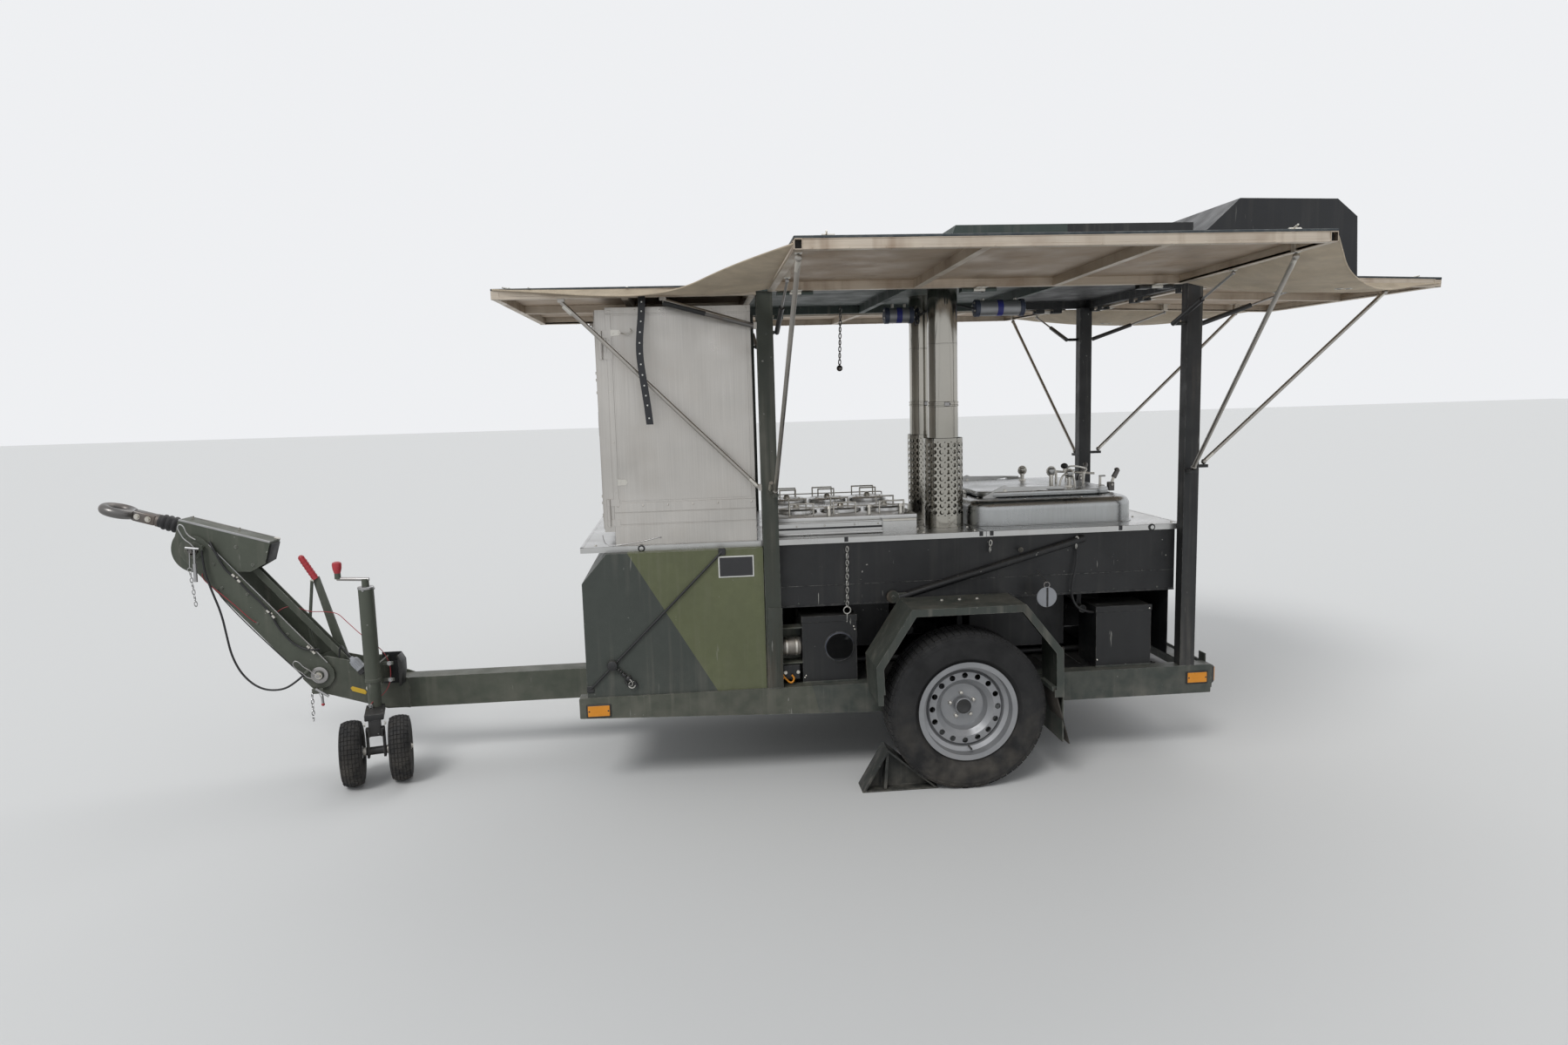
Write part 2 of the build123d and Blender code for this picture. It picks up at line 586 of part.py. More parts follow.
def knuckles(places):
    """The flap's own hinge knuckles and leaves, in its hinge's frame."""
    for place in places:
        with Locations((0, place, 0)):
            Cylinder(HINGE_R, KNUCKLE, rotation=(90, 0, 0))
        with Locations((0, place, FLAP_LIFT - LEAF)):
            Box(60.0, KNUCKLE, LEAF, align=(Align.MIN, Align.CENTER, Align.MIN))


SIDE_HINGES = (SIDE_FLAP_FRONT + 120.0, (SIDE_FLAP_FRONT + SIDE_FLAP_REAR) / 2, SIDE_FLAP_REAR - 120.0)
REAR_HINGES = (-500.0, 0.0, 500.0)
KNUCKLE = 50.0
LEAF = 4.0

# Roof panel with the outer knuckles of the flap hinges
roof_middle = (ROOF_FRONT + ROOF_REAR) / 2
with BuildPart() as roof:
    with Locations((ROOF_FRONT, 0, ROOF_BOTTOM)):
        Box(ROOF_REAR - ROOF_FRONT, 2 * ROOF_HALF_W, ROOF_THICK, align=(Align.MIN, Align.CENTER, Align.MIN))
    bays = [ROOF_FRONT, AXLE_X - 190.0, AXLE_X + 480.0, ROOF_REAR - FRAME_W]
    for near, far in zip(bays, bays[1:]):
        block(
            (near + FRAME_W, far),
            (FRAME_W - ROOF_HALF_W, ROOF_HALF_W - FRAME_W),
            (ROOF_BOTTOM, ROOF_BOTTOM + ROOF_THICK - SHEET),
            Mode.SUBTRACT,
        )
    for side in (-1, 1):
        axis_y = side * (ROOF_HALF_W + HINGE_OUT)
        for x in SIDE_HINGES:
            for low in (x - 1.5 * KNUCKLE - 1.0, x + 0.5 * KNUCKLE + 1.0):
                bar((low, axis_y, HINGE_Z), (low + KNUCKLE, axis_y, HINGE_Z), HINGE_R)
                block(
                    (low, low + KNUCKLE),
                    sorted((axis_y, side * (ROOF_HALF_W - 20.0))),
                    (HINGE_Z - HINGE_R, HINGE_Z - HINGE_R + LEAF),
                )
                block(
                    (low, low + KNUCKLE),
                    sorted((side * (ROOF_HALF_W - 20.0), side * (ROOF_HALF_W - 20.0 - LEAF))),
                    (HINGE_Z - HINGE_R, ROOF_BOTTOM + 1.0),
                )
    axis_x = ROOF_REAR + HINGE_OUT - 13.0
    for y in REAR_HINGES:
        for low in (y - 1.5 * KNUCKLE - 1.0, y + 0.5 * KNUCKLE + 1.0):
            bar((axis_x, low, HINGE_Z), (axis_x, low + KNUCKLE, HINGE_Z), HINGE_R)
            block((ROOF_REAR - 20.0, axis_x), (low, low + KNUCKLE), (HINGE_Z - HINGE_R, HINGE_Z - HINGE_R + LEAF))
            block(
                (ROOF_REAR - 20.0 - LEAF, ROOF_REAR - 20.0),
                (low, low + KNUCKLE),
                (HINGE_Z - HINGE_R, ROOF_BOTTOM + 1.0),
            )
save(roof, "roof")

with BuildPart() as roof_box:
    front, rear, half, top = ROOF_BOX
    base = ROOF_BOTTOM + ROOF_THICK
    shell = ((front, base), (rear, base), (rear, top), (front + ROOF_BOX_SLOPE, top))
    cross_plate(shell, -half, half)
    hollow = (
        (front + 10.0, base),
        (rear - 6.0, base),
        (rear - 6.0, top - 6.0),
        (front + ROOF_BOX_SLOPE + 5.0, top - 6.0),
    )
    cross_plate(hollow, 6.0 - half, half - 6.0, Mode.SUBTRACT)
save(roof_box, "roof_box")

# Front flap, held up by two stays and two gas struts; the oven below keeps it open
front_length = ROOF_FRONT - SEAT - FRONT_FLAP_EDGE
with BuildPart() as front_flap:
    with Locations((FRONT_FLAP_EDGE, 0, FRONT_FLAP_Z)):
        Box(front_length, 2 * FRONT_FLAP_HALF_W, ROOF_THICK, align=(Align.MIN, Align.CENTER, Align.MIN))
    bays = [FRONT_FLAP_EDGE, FRONT_FLAP_EDGE + front_length / 2, ROOF_FRONT - SEAT - FRAME_W]
    for near, far in zip(bays, bays[1:]):
        block(
            (near + FRAME_W, far),
            (FRAME_W - FRONT_FLAP_HALF_W, FRONT_FLAP_HALF_W - FRAME_W),
            (FRONT_FLAP_Z, FRONT_FLAP_Z + ROOF_THICK - SHEET),
            Mode.SUBTRACT,
        )
save(front_flap, "front_flap")

FRONT_STAYS = (  # X and |Y| and Z at the flap, then at the post, radius
    (AXLE_X - 1675.0, FRONT_FLAP_HALF_W - 20.0, FRONT_FLAP_Z - 13.0, POST_FRONT - 12.0, 636.0, 1345.0, STAY_R),
    (AXLE_X - 1254.0, FRONT_FLAP_HALF_W - 20.0, FRONT_FLAP_Z - 13.0, POST_FRONT - 14.0, 636.0, 2046.0, STRUT_R),
)
with BuildPart() as front_stays:
    for side in (-1, 1):
        for x0, y0, z0, x1, y1, z1, radius in FRONT_STAYS:
            bar((x0, side * y0, z0), (x1, side * y1, z1), radius)
            block((x0 - 14.0, x0 + 14.0), (side * y0 - 12.0, side * y0 + 12.0), (z0, FRONT_FLAP_Z - SEAT))
            block((x1, POST_FRONT - SEAT), (side * y1 - 12.0, side * y1 + 12.0), (z1 - 14.0, z1 + 14.0))
save(front_stays, "front_stays")

# Flaps, each made in its hinge's own frame: X outwards, Z up from the hinge axis
STAY_DROP = 8.0  # a stay's ball below the hinge axis
EYE_DROP = 5.0  # a gas strut's eye below the hinge axis
SIDE_BALLS = ((SIDE_FLAP_FRONT + 21.0, 1010.0), (SIDE_FLAP_REAR - 25.0, 870.0))  # along X, out from the hinge
SIDE_EYE_OUT = 440.0
REAR_BALLS = ((214.0, -600.0), (254.0, 600.0))  # in from the flap's edge, along Y
REAR_EYE_OUT = 420.0
side_middle = (SIDE_FLAP_FRONT + SIDE_FLAP_REAR) / 2
rise = radians(SIDE_FLAP_RISE)
side_hinges = {}
for name, side in (("left", -1), ("right", 1)):
    side_hinges[name] = Plane(
        origin=(side_middle, side * (ROOF_HALF_W + HINGE_OUT), HINGE_Z),
        x_dir=(0, side * cos(rise), sin(rise)),
        z_dir=(0, -side * sin(rise), cos(rise)),
    )
    with BuildPart(side_hinges[name]) as flap:
        rafters = [-side * (x - side_middle) for x in SIDE_RAFTERS]
        flap_panel(SIDE_FLAP_REACH, (SIDE_FLAP_REAR - SIDE_FLAP_FRONT) / 2, rafters)
        knuckles([-side * (x - side_middle) for x in SIDE_HINGES])
        lugs([(out, -side * (x - side_middle)) for x, out in SIDE_BALLS], BALL_R - STAY_DROP + SEAT)
        lugs([(SIDE_EYE_OUT, -side * (x - side_middle)) for x in SIDE_STRUT_X], EYE_R - EYE_DROP + SEAT)
    save(flap, f"flap_{name}")

drop = radians(REAR_FLAP_DROP)
rear_hinge = Plane(
    origin=(ROOF_REAR + HINGE_OUT - 13.0, 0, HINGE_Z),
    x_dir=(cos(drop), 0, -sin(drop)),
    z_dir=(sin(drop), 0, cos(drop)),
)
top_lean = (FLAP_LIFT + ROOF_THICK) * sin(drop)
rear_reach = (AXLE_X + REAR_REACH - rear_hinge.origin.X - top_lean) / cos(drop)
with BuildPart(rear_hinge) as flap_rear:
    flap_panel(rear_reach, REAR_FLAP_HALF_W, (0.0,))
    knuckles(REAR_HINGES)
    lugs([(rear_reach - inset, y) for inset, y in REAR_BALLS], BALL_R - STAY_DROP + SEAT)
    lugs([(REAR_EYE_OUT, side * REAR_STRUT_Y) for side in (-1, 1)], EYE_R - EYE_DROP + SEAT)
save(flap_rear, "flap_rear")

# Hood on the rear flap, in the same frame: outline as (out from the hinge, up from the panel)
HOOD_REACH = rear_reach - 354.0
HOOD = (
    (8.0, 0.0),
    (8.0, 205.0),
    (155.0, 345.0),
    (HOOD_REACH - 120.0, 352.0),
    (HOOD_REACH - 20.0, 276.0),
    (HOOD_REACH, 0.0),
)
HOOD_HALF_W = 600.0
HOOD_WALL = 6.0
hood_plane = Plane(
    origin=rear_hinge.origin + rear_hinge.z_dir * (FLAP_LIFT + ROOF_THICK),
    x_dir=rear_hinge.x_dir,
    z_dir=(0, -1, 0),
)
with BuildPart() as rear_hood:
    with BuildSketch(hood_plane) as hood:
        with BuildLine():
            Polyline(*HOOD, close=True)
        make_face()
    extrude(hood.sketch, amount=HOOD_HALF_W, both=True)
    offset(amount=-HOOD_WALL, openings=rear_hood.faces().sort_by(Axis(rear_hinge.origin, rear_hinge.z_dir))[0])
save(rear_hood, "rear_hood")

# Stays of the moving flaps, each hung under its flap by a ball, with its foot on a shelf of a post.
# A stay folds against its flap while the flap comes down, so its foot stands clear of the post.
def flap_point(hinge, out, along, drop):
    """A point under a flap: out from its hinge, along it, and below the hinge axis."""
    return hinge.from_local_coords((out, along, -drop))


stay_ends = []  # name, ball, foot
for name, side in (("left", -1), ("right", 1)):
    for place, (x, out), foot in zip(("front", "rear"), SIDE_BALLS, SIDE_FOOT):
        ball = flap_point(side_hinges[name], out, -side * (x - side_middle), STAY_DROP)
        stay_ends.append((f"{place}_{name}", ball, Vector(foot[0], side * foot[1], foot[2])))
for name, (inset, y) in zip(("left", "right"), REAR_BALLS):
    foot = Vector(BACK_FOOT[0], y, BACK_FOOT[2])
    stay_ends.append((f"back_{name}", flap_point(rear_hinge, rear_reach - inset, y, STAY_DROP), foot))
for name, ball, foot in stay_ends:
    with BuildPart() as stay:
        bar(tuple(ball), tuple(foot), STAY_R)
        with Locations(ball, foot):
            Sphere(BALL_R)
    save(stay, f"stay_{name}")

# Gas struts: a barrel from its stud on the post, a rod up to its eye under the flap
BARREL_LENGTH = {"left": 266.0, "right": 266.0, "rear": 240.0}
BORE_START = 5.0
ROD_INSERT = 20.0
strut_ends = {"left": [], "right": [], "rear": []}  # pivot, eye
for name, side in (("left", -1), ("right", 1)):
    for x in SIDE_STRUT_X:
        eye = flap_point(side_hinges[name], SIDE_EYE_OUT, -side * (x - side_middle), EYE_DROP)
        strut_ends[name].append((Vector(x, side * SIDE_STRUT_Y, STRUT_Z), eye))
    eye = flap_point(rear_hinge, REAR_EYE_OUT, side * REAR_STRUT_Y, EYE_DROP)
    strut_ends["rear"].append((Vector(REAR_STRUT_X, side * REAR_STRUT_Y, STRUT_Z), eye))
for name, ends in strut_ends.items():
    with BuildPart() as barrels:
        for pivot, eye in ends:
            run = (eye - pivot).normalized()
            mouth = pivot + run * BARREL_LENGTH[name]
            bar(tuple(pivot), tuple(mouth), STRUT_R)
            bar(tuple(pivot + run * BORE_START), tuple(mouth), STRUT_ROD_R + RUNNING, Mode.SUBTRACT)
    save(barrels, f"strut_barrels_{name}")
    with BuildPart() as rods:
        for pivot, eye in ends:
            run = (eye - pivot).normalized()
            bar(tuple(pivot + run * (BARREL_LENGTH[name] - ROD_INSERT)), tuple(eye), STRUT_ROD_R)
            with Locations(eye):
                Sphere(EYE_R)
    save(rods, f"strut_rods_{name}")

# Cable that hangs in a loop beside the drawbar's arm, held at both ends: route as (X from the knee, Y, Z)
CABLE_R = 5.0
GLAND_R = 9.0
GLAND_LENGTH = 24.0
CABLE_ROUTE = (
    (-479.0, -100.0, 1094.0),
    (-479.0, -100.0, 1005.0),
    (-451.0, -106.0, 905.0),
    (-415.0, -108.0, 790.0),
    (-401.0, -108.0, 680.0),
    (-387.0, -108.0, 575.0),
    (-344.0, -108.0, 475.0),
    (-267.0, -108.0, 405.0),
    (-171.0, -108.0, 396.0),
    (-104.0, -104.0, 432.0),
    (-59.0, -100.0, 472.0),
)
route = [Vector(KNEE[0] + x, y, z) for x, y, z in CABLE_ROUTE]
radii = []
for before, corner, after in zip(route, route[1:], route[2:]):
    half_turn = radians((corner - before).get_angle(after - corner) / 2)
    radii.append(0.45 * min((corner - before).length, (after - corner).length) / tan(half_turn))

# Drawbar arm: two plates outside the cheeks, a floor between them, and stub pivots at both ends
arm_run = hypot(HEAD[0] - KNEE[0], HEAD[1] - KNEE[1])
arm_dir = ((HEAD[0] - KNEE[0]) / arm_run, (HEAD[1] - KNEE[1]) / arm_run)
arm_plane = Plane(origin=(KNEE[0], 0, KNEE[1]), x_dir=(arm_dir[0], 0, arm_dir[1]), z_dir=(0, -1, 0))
CHEEK_OUT = BEAM_HALF_W + PLATE
ARM_PLATE_IN = CHEEK_OUT + CHEEK_GAP
ARM_PLATE_OUT = ARM_PLATE_IN + PLATE
with BuildPart() as drawbar_arm:
    for side in (-1, 1):
        with BuildSketch(arm_plane.offset(-side * ARM_PLATE_IN)) as arm_side:
            with Locations((arm_run / 2, 0)):
                SlotCenterToCenter(arm_run, ARM_DEPTH)
        extrude(arm_side.sketch, amount=-side * PLATE)
        for x, z in (KNEE, HEAD):
            for start, end, radius in (
                (BEAM_HALF_W - 4.0, ARM_PLATE_OUT, PIVOT_R),
                (ARM_PLATE_OUT - 1.0, ARM_PLATE_OUT + 10.0, TOOTH_DISC_R),
                (ARM_PLATE_OUT + 10.0, ARM_PLATE_OUT + 22.0, PIVOT_R),
            ):
                bar((x, side * start, z), (x, side * end, z), radius)
    with BuildSketch(arm_plane.offset(-ARM_PLATE_IN)) as floor:
        with Locations((ARM_FLOOR[0], ARM_DEPTH / 2 - PLATE)):
            Rectangle(arm_run - ARM_FLOOR[0] - ARM_FLOOR[1], PLATE, align=Align.MIN)
    extrude(floor.sketch, amount=2 * ARM_PLATE_IN)
    for end, inner in ((route[0], route[1]), (route[-1], route[-2])):
        out = (end - inner).normalized()
        bar(tuple(end), tuple(end + out * GLAND_LENGTH), GLAND_R)
        middle = end + out * GLAND_LENGTH / 2
        bar((middle.X, -ARM_PLATE_IN - 1.0, middle.Z), tuple(middle), GLAND_R - 3.0)
save(drawbar_arm, "drawbar_arm")

link_low = (KNEE[0] + LINK_OFFSET[0], KNEE[1] + LINK_OFFSET[1])
link_high = (HEAD[0] + LINK_OFFSET[0], HEAD[1] + LINK_OFFSET[1])
link_plane = Plane(origin=(link_low[0], 0, link_low[1]), x_dir=arm_plane.x_dir, z_dir=(0, -1, 0))
with BuildPart() as upper_link:
    with BuildSketch(link_plane.offset(-LINK_HALF_W)) as link:
        with Locations((arm_run / 2, 0)):
            SlotCenterToCenter(arm_run, LINK_DEPTH + 14.0)
            Rectangle(arm_run - 60.0, LINK_DEPTH + 14.0, mode=Mode.SUBTRACT)
            Rectangle(arm_run - 60.0, LINK_DEPTH)
        Circle(LINK_PIN_R + RUNNING, mode=Mode.SUBTRACT)
        with Locations((arm_run, 0)):
            Circle(LINK_PIN_R + LINK_FREE, mode=Mode.SUBTRACT)
    extrude(link.sketch, amount=2 * LINK_HALF_W)
    with BuildSketch(link_plane.offset(-(LINK_HALF_W - 5.0))) as groove:
        with Locations((arm_run / 2, -6.0)):
            Rectangle(arm_run - 80.0, LINK_DEPTH - 8.0)
    extrude(groove.sketch, amount=2 * (LINK_HALF_W - 5.0), mode=Mode.SUBTRACT)
save(upper_link, "upper_link")

# Coupling head: cheeks round the arm's end, a roof plate and the draught shaft's housing
tilt = radians(HEAD_TILT)
shaft_dir = (-cos(tilt), 0, sin(tilt))
shaft_foot = (HEAD[0], 0, HEAD[1] + SHAFT_DROP)
head_plane = Plane(origin=shaft_foot, x_dir=shaft_dir, z_dir=(0, -1, 0))
HEAD_PLATE = (  # along the shaft towards the eye, then down from its axis
    (78.0, -42.0),
    (-345.0, -42.0),
    (-345.0, 66.0),
    (-292.0, 120.0),
    (-60.0, 185.0),
    (78.0, 60.0),
)
HEAD_DISC_R = 110.0
SHAFT_HOUSING_R = 42.0
with BuildPart() as coupling_head:
    for side in (-1, 1):
        with BuildSketch(head_plane.offset(-side * BEAM_HALF_W)) as cheek:
            with BuildLine():
                Polyline(*[(a, b) for a, b in HEAD_PLATE], close=True)
            make_face()
        extrude(cheek.sketch, amount=-side * PLATE)
        bar((HEAD[0], side * BEAM_HALF_W, HEAD[1]), (HEAD[0], side * (BEAM_HALF_W + PLATE), HEAD[1]), HEAD_DISC_R)
        bar(
            (HEAD[0], side * BEAM_HALF_W, HEAD[1]),
            (HEAD[0], side * (BEAM_HALF_W + PLATE), HEAD[1]),
            PIVOT_R + RUNNING,
            Mode.SUBTRACT,
        )
    with BuildSketch(head_plane.offset(-BEAM_HALF_W)) as roof_plate:
        with BuildLine():
            Polyline((78.0, -42.0), (-345.0, -42.0), (-345.0, 20.0), (-337.0, 20.0), (-337.0, -34.0),
                     (70.0, -34.0), (70.0, 40.0), (78.0, 40.0), close=True)
        make_face()
    extrude(roof_plate.sketch, amount=2 * BEAM_HALF_W)
    bar((link_high[0], -BEAM_HALF_W, link_high[1]), (link_high[0], BEAM_HALF_W, link_high[1]), LINK_PIN_R)
    housing_end = head_plane.from_local_coords((-200.0, 0, 0))
    housing_start = head_plane.from_local_coords((78.0, 0, 0))
    bar(tuple(housing_end), tuple(housing_start), SHAFT_HOUSING_R)
save(coupling_head, "coupling_head")

# Towing eye on its draught shaft, with the ribbed gaiter that covers the shaft's stroke
ring_middle = (shaft_foot[0] - (AXLE_X - EYE_REACH) - EYE_RING_R * cos(tilt) - EYE_SECTION_R) / cos(tilt)
GAITER = (82.0, 182.0)
with BuildPart() as towing_eye:
    ring_origin = head_plane.from_local_coords((ring_middle, 0, 0))
    ring_axis = Vector(sin(tilt), 0, cos(tilt))
    ring_plane = Plane(origin=ring_origin, x_dir=shaft_dir, z_dir=ring_axis)
    section_plane = Plane(origin=ring_origin, x_dir=shaft_dir, z_dir=(0, -1, 0))
    with BuildSketch(section_plane) as section:
        with Locations((EYE_RING_R, 0)):
            Circle(EYE_SECTION_R)
        with Locations((EYE_BORE_R / 2 - 10.0, 0)):
            Rectangle(EYE_BORE_R + 20.0, 60.0, mode=Mode.SUBTRACT)
    revolve(section.sketch, axis=Axis(ring_origin, ring_axis))
    neck = head_plane.from_local_coords((ring_middle - EYE_RING_R - 8.0, 0, 0))
    base = head_plane.from_local_coords((78.0 + SEAT, 0, 0))
    bar(tuple(base), tuple(neck), SHAFT_R)
save(towing_eye, "towing_eye")

with BuildPart() as gaiter:
    with BuildSketch(Plane(origin=shaft_foot, x_dir=shaft_dir, z_dir=(0, -1, 0))) as bellows:
        with BuildLine():
            ribs = [(GAITER[0], SHAFT_R + SEAT)]
            steps = 10
            for row in range(steps + 1):
                along = GAITER[0] + (GAITER[1] - GAITER[0]) * row / steps
                ribs.append((along, 38.0 if row % 2 else 32.0))
            ribs.append((GAITER[1], SHAFT_R + SEAT))
            Polyline(*ribs, close=True)
        make_face()
    revolve(bellows.sketch, axis=Axis(shaft_foot, Vector(*shaft_dir)))
save(gaiter, "gaiter")

# Handbrake lever beside the link, on a boss of the right cheek
with BuildPart() as handbrake:
    lever = (
        (KNEE[0] + 118.0, KNEE[1] + 20.0),
        (KNEE[0] + 66.0, KNEE[1] + 30.0),
        (KNEE[0] - 37.0, KNEE[1] + 462.0),
        (KNEE[0] - 5.0, KNEE[1] + 468.0),
    )
    cross_plate(lever, 30.0, 40.0)
    bar((KNEE[0] + 95.0, 40.0, KNEE[1] + 30.0), (KNEE[0] + 95.0, BEAM_HALF_W, KNEE[1] + 30.0), 22.0)
    bar((KNEE[0] - 21.0, 35.0, KNEE[1] + 455.0), (KNEE[0] - 80.0, 35.0, KNEE[1] + 560.0), 14.0)
save(handbrake, "handbrake")

# Jockey leg: fixed tube with its crank, sliding leg, swivelling fork, twin wheels
with BuildPart() as jockey_tube:
    bar((JOCKEY_X, JOCKEY_Y, JOCKEY_TUBE_BOTTOM), (JOCKEY_X, JOCKEY_Y, JOCKEY_TUBE_TOP), JOCKEY_TUBE_R)
    block((JOCKEY_X - 36.0, JOCKEY_X + 80.0), (-CHEEK_OUT - 14.0, -CHEEK_OUT - SEAT), BRACKET_Z)
    for x in (JOCKEY_X - 36.0, JOCKEY_X + 26.0):
        block((x, x + 10.0), (JOCKEY_Y, -CHEEK_OUT - 10.0), BRACKET_Z)
    bar(
        (JOCKEY_X, JOCKEY_Y, BRACKET_Z[0]),
        (JOCKEY_X, JOCKEY_Y, JOCKEY_TUBE_TOP - 8.0),
        JOCKEY_LEG_R + RUNNING,
        Mode.SUBTRACT,
    )
    bar((JOCKEY_X, JOCKEY_Y, JOCKEY_TUBE_TOP - 4.0), (JOCKEY_X, JOCKEY_Y, JOCKEY_TUBE_TOP + 40.0), 16.0)
    bar(
        (JOCKEY_X + 18.0, JOCKEY_Y, JOCKEY_TUBE_TOP + 36.0),
        (JOCKEY_X - 126.0, JOCKEY_Y, JOCKEY_TUBE_TOP + 44.0),
        8.0,
    )
    bar((JOCKEY_X - 122.0, JOCKEY_Y, JOCKEY_TUBE_TOP + 44.0), (JOCKEY_X - 122.0, JOCKEY_Y, 1016.0), 14.0)
save(jockey_tube, "jockey_tube")

with BuildPart() as jockey_leg:
    bar((JOCKEY_X, JOCKEY_Y, FORK_TOP), (JOCKEY_X, JOCKEY_Y, JOCKEY_TUBE_TOP - 130.0), JOCKEY_LEG_R)
save(jockey_leg, "jockey_leg")

turn = radians(JOCKEY_YAW)
fork_plane = Plane(origin=(JOCKEY_X, JOCKEY_Y, 0), x_dir=(cos(turn), sin(turn), 0), z_dir=(0, 0, 1))
with BuildPart(fork_plane) as jockey_fork:
    with Locations((0, -JOCKEY_TRAIL / 2, FORK_TOP - SEAT - 15.0)):
        Box(84.0, 60.0 + JOCKEY_TRAIL, 30.0)
    with Locations((0, -JOCKEY_TRAIL - 5.0, (FORK_TOP - SEAT + FORK_BOTTOM) / 2)):
        Box(84.0, 40.0, FORK_TOP - SEAT - FORK_BOTTOM)
    with Locations((0, -JOCKEY_TRAIL, JOCKEY_TYRE_R)):
        Cylinder(12.0 + RUNNING, 100.0, rotation=(0, 90, 0), mode=Mode.SUBTRACT)
save(jockey_fork, "jockey_fork")

with BuildPart(fork_plane) as jockey_hubs:
    with Locations((0, -JOCKEY_TRAIL, JOCKEY_TYRE_R)):
        Cylinder(12.0, JOCKEY_SPACING + 70.0, rotation=(0, 90, 0))
    for side in (-1, 1):
        with Locations((side * JOCKEY_SPACING / 2, -JOCKEY_TRAIL, JOCKEY_TYRE_R)):
            Cylinder(70.0, 54.0, rotation=(0, 90, 0))
            Cylinder(28.0, 86.0, rotation=(0, 90, 0))
save(jockey_hubs, "jockey_hubs")

with BuildPart(fork_plane) as jockey_tyres:
    half = JOCKEY_TYRE_W / 2
    for side in (-1, 1):
        tread = Plane(
            origin=fork_plane.from_local_coords((side * JOCKEY_SPACING / 2, -JOCKEY_TRAIL, JOCKEY_TYRE_R)),
            x_dir=(cos(turn), sin(turn), 0),
            z_dir=(-sin(turn), cos(turn), 0),
        )
        with BuildSketch(tread) as carcass:
            with BuildLine():
                Polyline(
                    (-27.0, 70.0 + SEAT), (-half * 0.8, 82.0), (-half, 112.0), (-half * 0.8, 143.0),
                    (-half * 0.5, JOCKEY_TYRE_R), (half * 0.5, JOCKEY_TYRE_R), (half * 0.8, 143.0),
                    (half, 112.0), (half * 0.8, 82.0), (27.0, 70.0 + SEAT), close=True,
                )
            make_face()
        revolve(carcass.sketch, axis=Axis(tread.origin, tread.x_dir))
save(jockey_tyres, "jockey_tyres")

# Road wheels: tyre, and the rim with its brake drum and hub
TYRE_HALF = (  # distance from the wheel's middle plane, radius
    (76.0, BEAD_R + SEAT),
    (78.0 - SEAT, FLANGE_R + 3.0),
    (96.0, 236.0),
    (TYRE_W / 2, 286.0),
    (97.0, 326.0),
    (82.0, 345.0),
    (60.0, TYRE_R),
)
RIM_HALF_W = RIM_W / 2
RIM = (  # distance outwards from the wheel's middle plane, radius
    (-RIM_HALF_W, FLANGE_R),
    (-RIM_HALF_W + 6.0, FLANGE_R),
    (-RIM_HALF_W + FLANGE_W, BEAD_R),
    (-20.0, BEAD_R),
    (-10.0, BEAD_R - 22.0),
    (25.0, BEAD_R - 22.0),
    (35.0, BEAD_R),
    (RIM_HALF_W - FLANGE_W, BEAD_R),
    (RIM_HALF_W - 6.0, FLANGE_R),
    (RIM_HALF_W, FLANGE_R),
    (RIM_HALF_W - 2.0, BEAD_R - 5.0),
    (45.0, BEAD_R - 9.0),
    (35.0, BEAD_R - 27.0),
    (20.0, BEAD_R - 32.0),
    (34.0, RIM_HOLE_PCD_R + 14.0),
    (34.0, RIM_HOLE_PCD_R - 18.0),
    (12.0, 108.0),
    (-18.0, 96.0),
    (-18.0, STUB_R + 24.0),
    (-24.0, STUB_R + 24.0),
    (-24.0, 100.0),
    (6.0, 113.0),
    (28.0, RIM_HOLE_PCD_R - 20.0),
    (28.0, RIM_HOLE_PCD_R + 10.0),
    (12.0, BEAD_R - 36.0),
    (-14.0, BEAD_R - 28.0),
    (-26.0, BEAD_R - 6.0),
    (-RIM_HALF_W + 4.0, BEAD_R - 6.0),
)
for name, side in (("left", -1), ("right", 1)):
    wheel_plane = Plane(origin=(AXLE_X, side * WHEEL_Y, TYRE_R), x_dir=(0, side, 0), z_dir=(1, 0, 0))
    spin = Axis((AXLE_X, side * WHEEL_Y, TYRE_R), (0, 1, 0))
    with BuildPart() as tyre:
        with BuildSketch(wheel_plane) as carcass:
            with BuildLine():
                right_half = [(a, side * b) for a, b in TYRE_HALF]
                left_half = [(-a, side * b) for a, b in reversed(TYRE_HALF)]
                Polyline(*right_half, *left_half, close=True)
            make_face()
        revolve(carcass.sketch, axis=spin)
    save(tyre, f"tyre_{name}")
    with BuildPart() as wheel:
        with BuildSketch(wheel_plane) as section:
            with BuildLine():
                Polyline(*[(a, side * b) for a, b in RIM], close=True)
            make_face()
        revolve(section.sketch, axis=spin)
        with BuildSketch(Plane(origin=(AXLE_X, side * WHEEL_Y, TYRE_R), z_dir=(0, side, 0))) as holes:
            with PolarLocations(RIM_HOLE_PCD_R, RIM_HOLES):
                Circle(RIM_HOLE_R)
        extrude(holes.sketch, amount=60.0, mode=Mode.SUBTRACT)
        for start, end, radius in (
            (DRUM_IN, WHEEL_Y - 24.0, DRUM_R),
            (WHEEL_Y - 24.0, WHEEL_Y + 10.0, 36.0),
        ):
            bar((AXLE_X, side * start, TYRE_R), (AXLE_X, side * end, TYRE_R), radius)
        bar(
            (AXLE_X, side * DRUM_IN, TYRE_R),
            (AXLE_X, side * (STUB_END + 2.0), TYRE_R),
            STUB_R + RUNNING,
            Mode.SUBTRACT,
        )
    save(wheel, f"wheel_{name}")

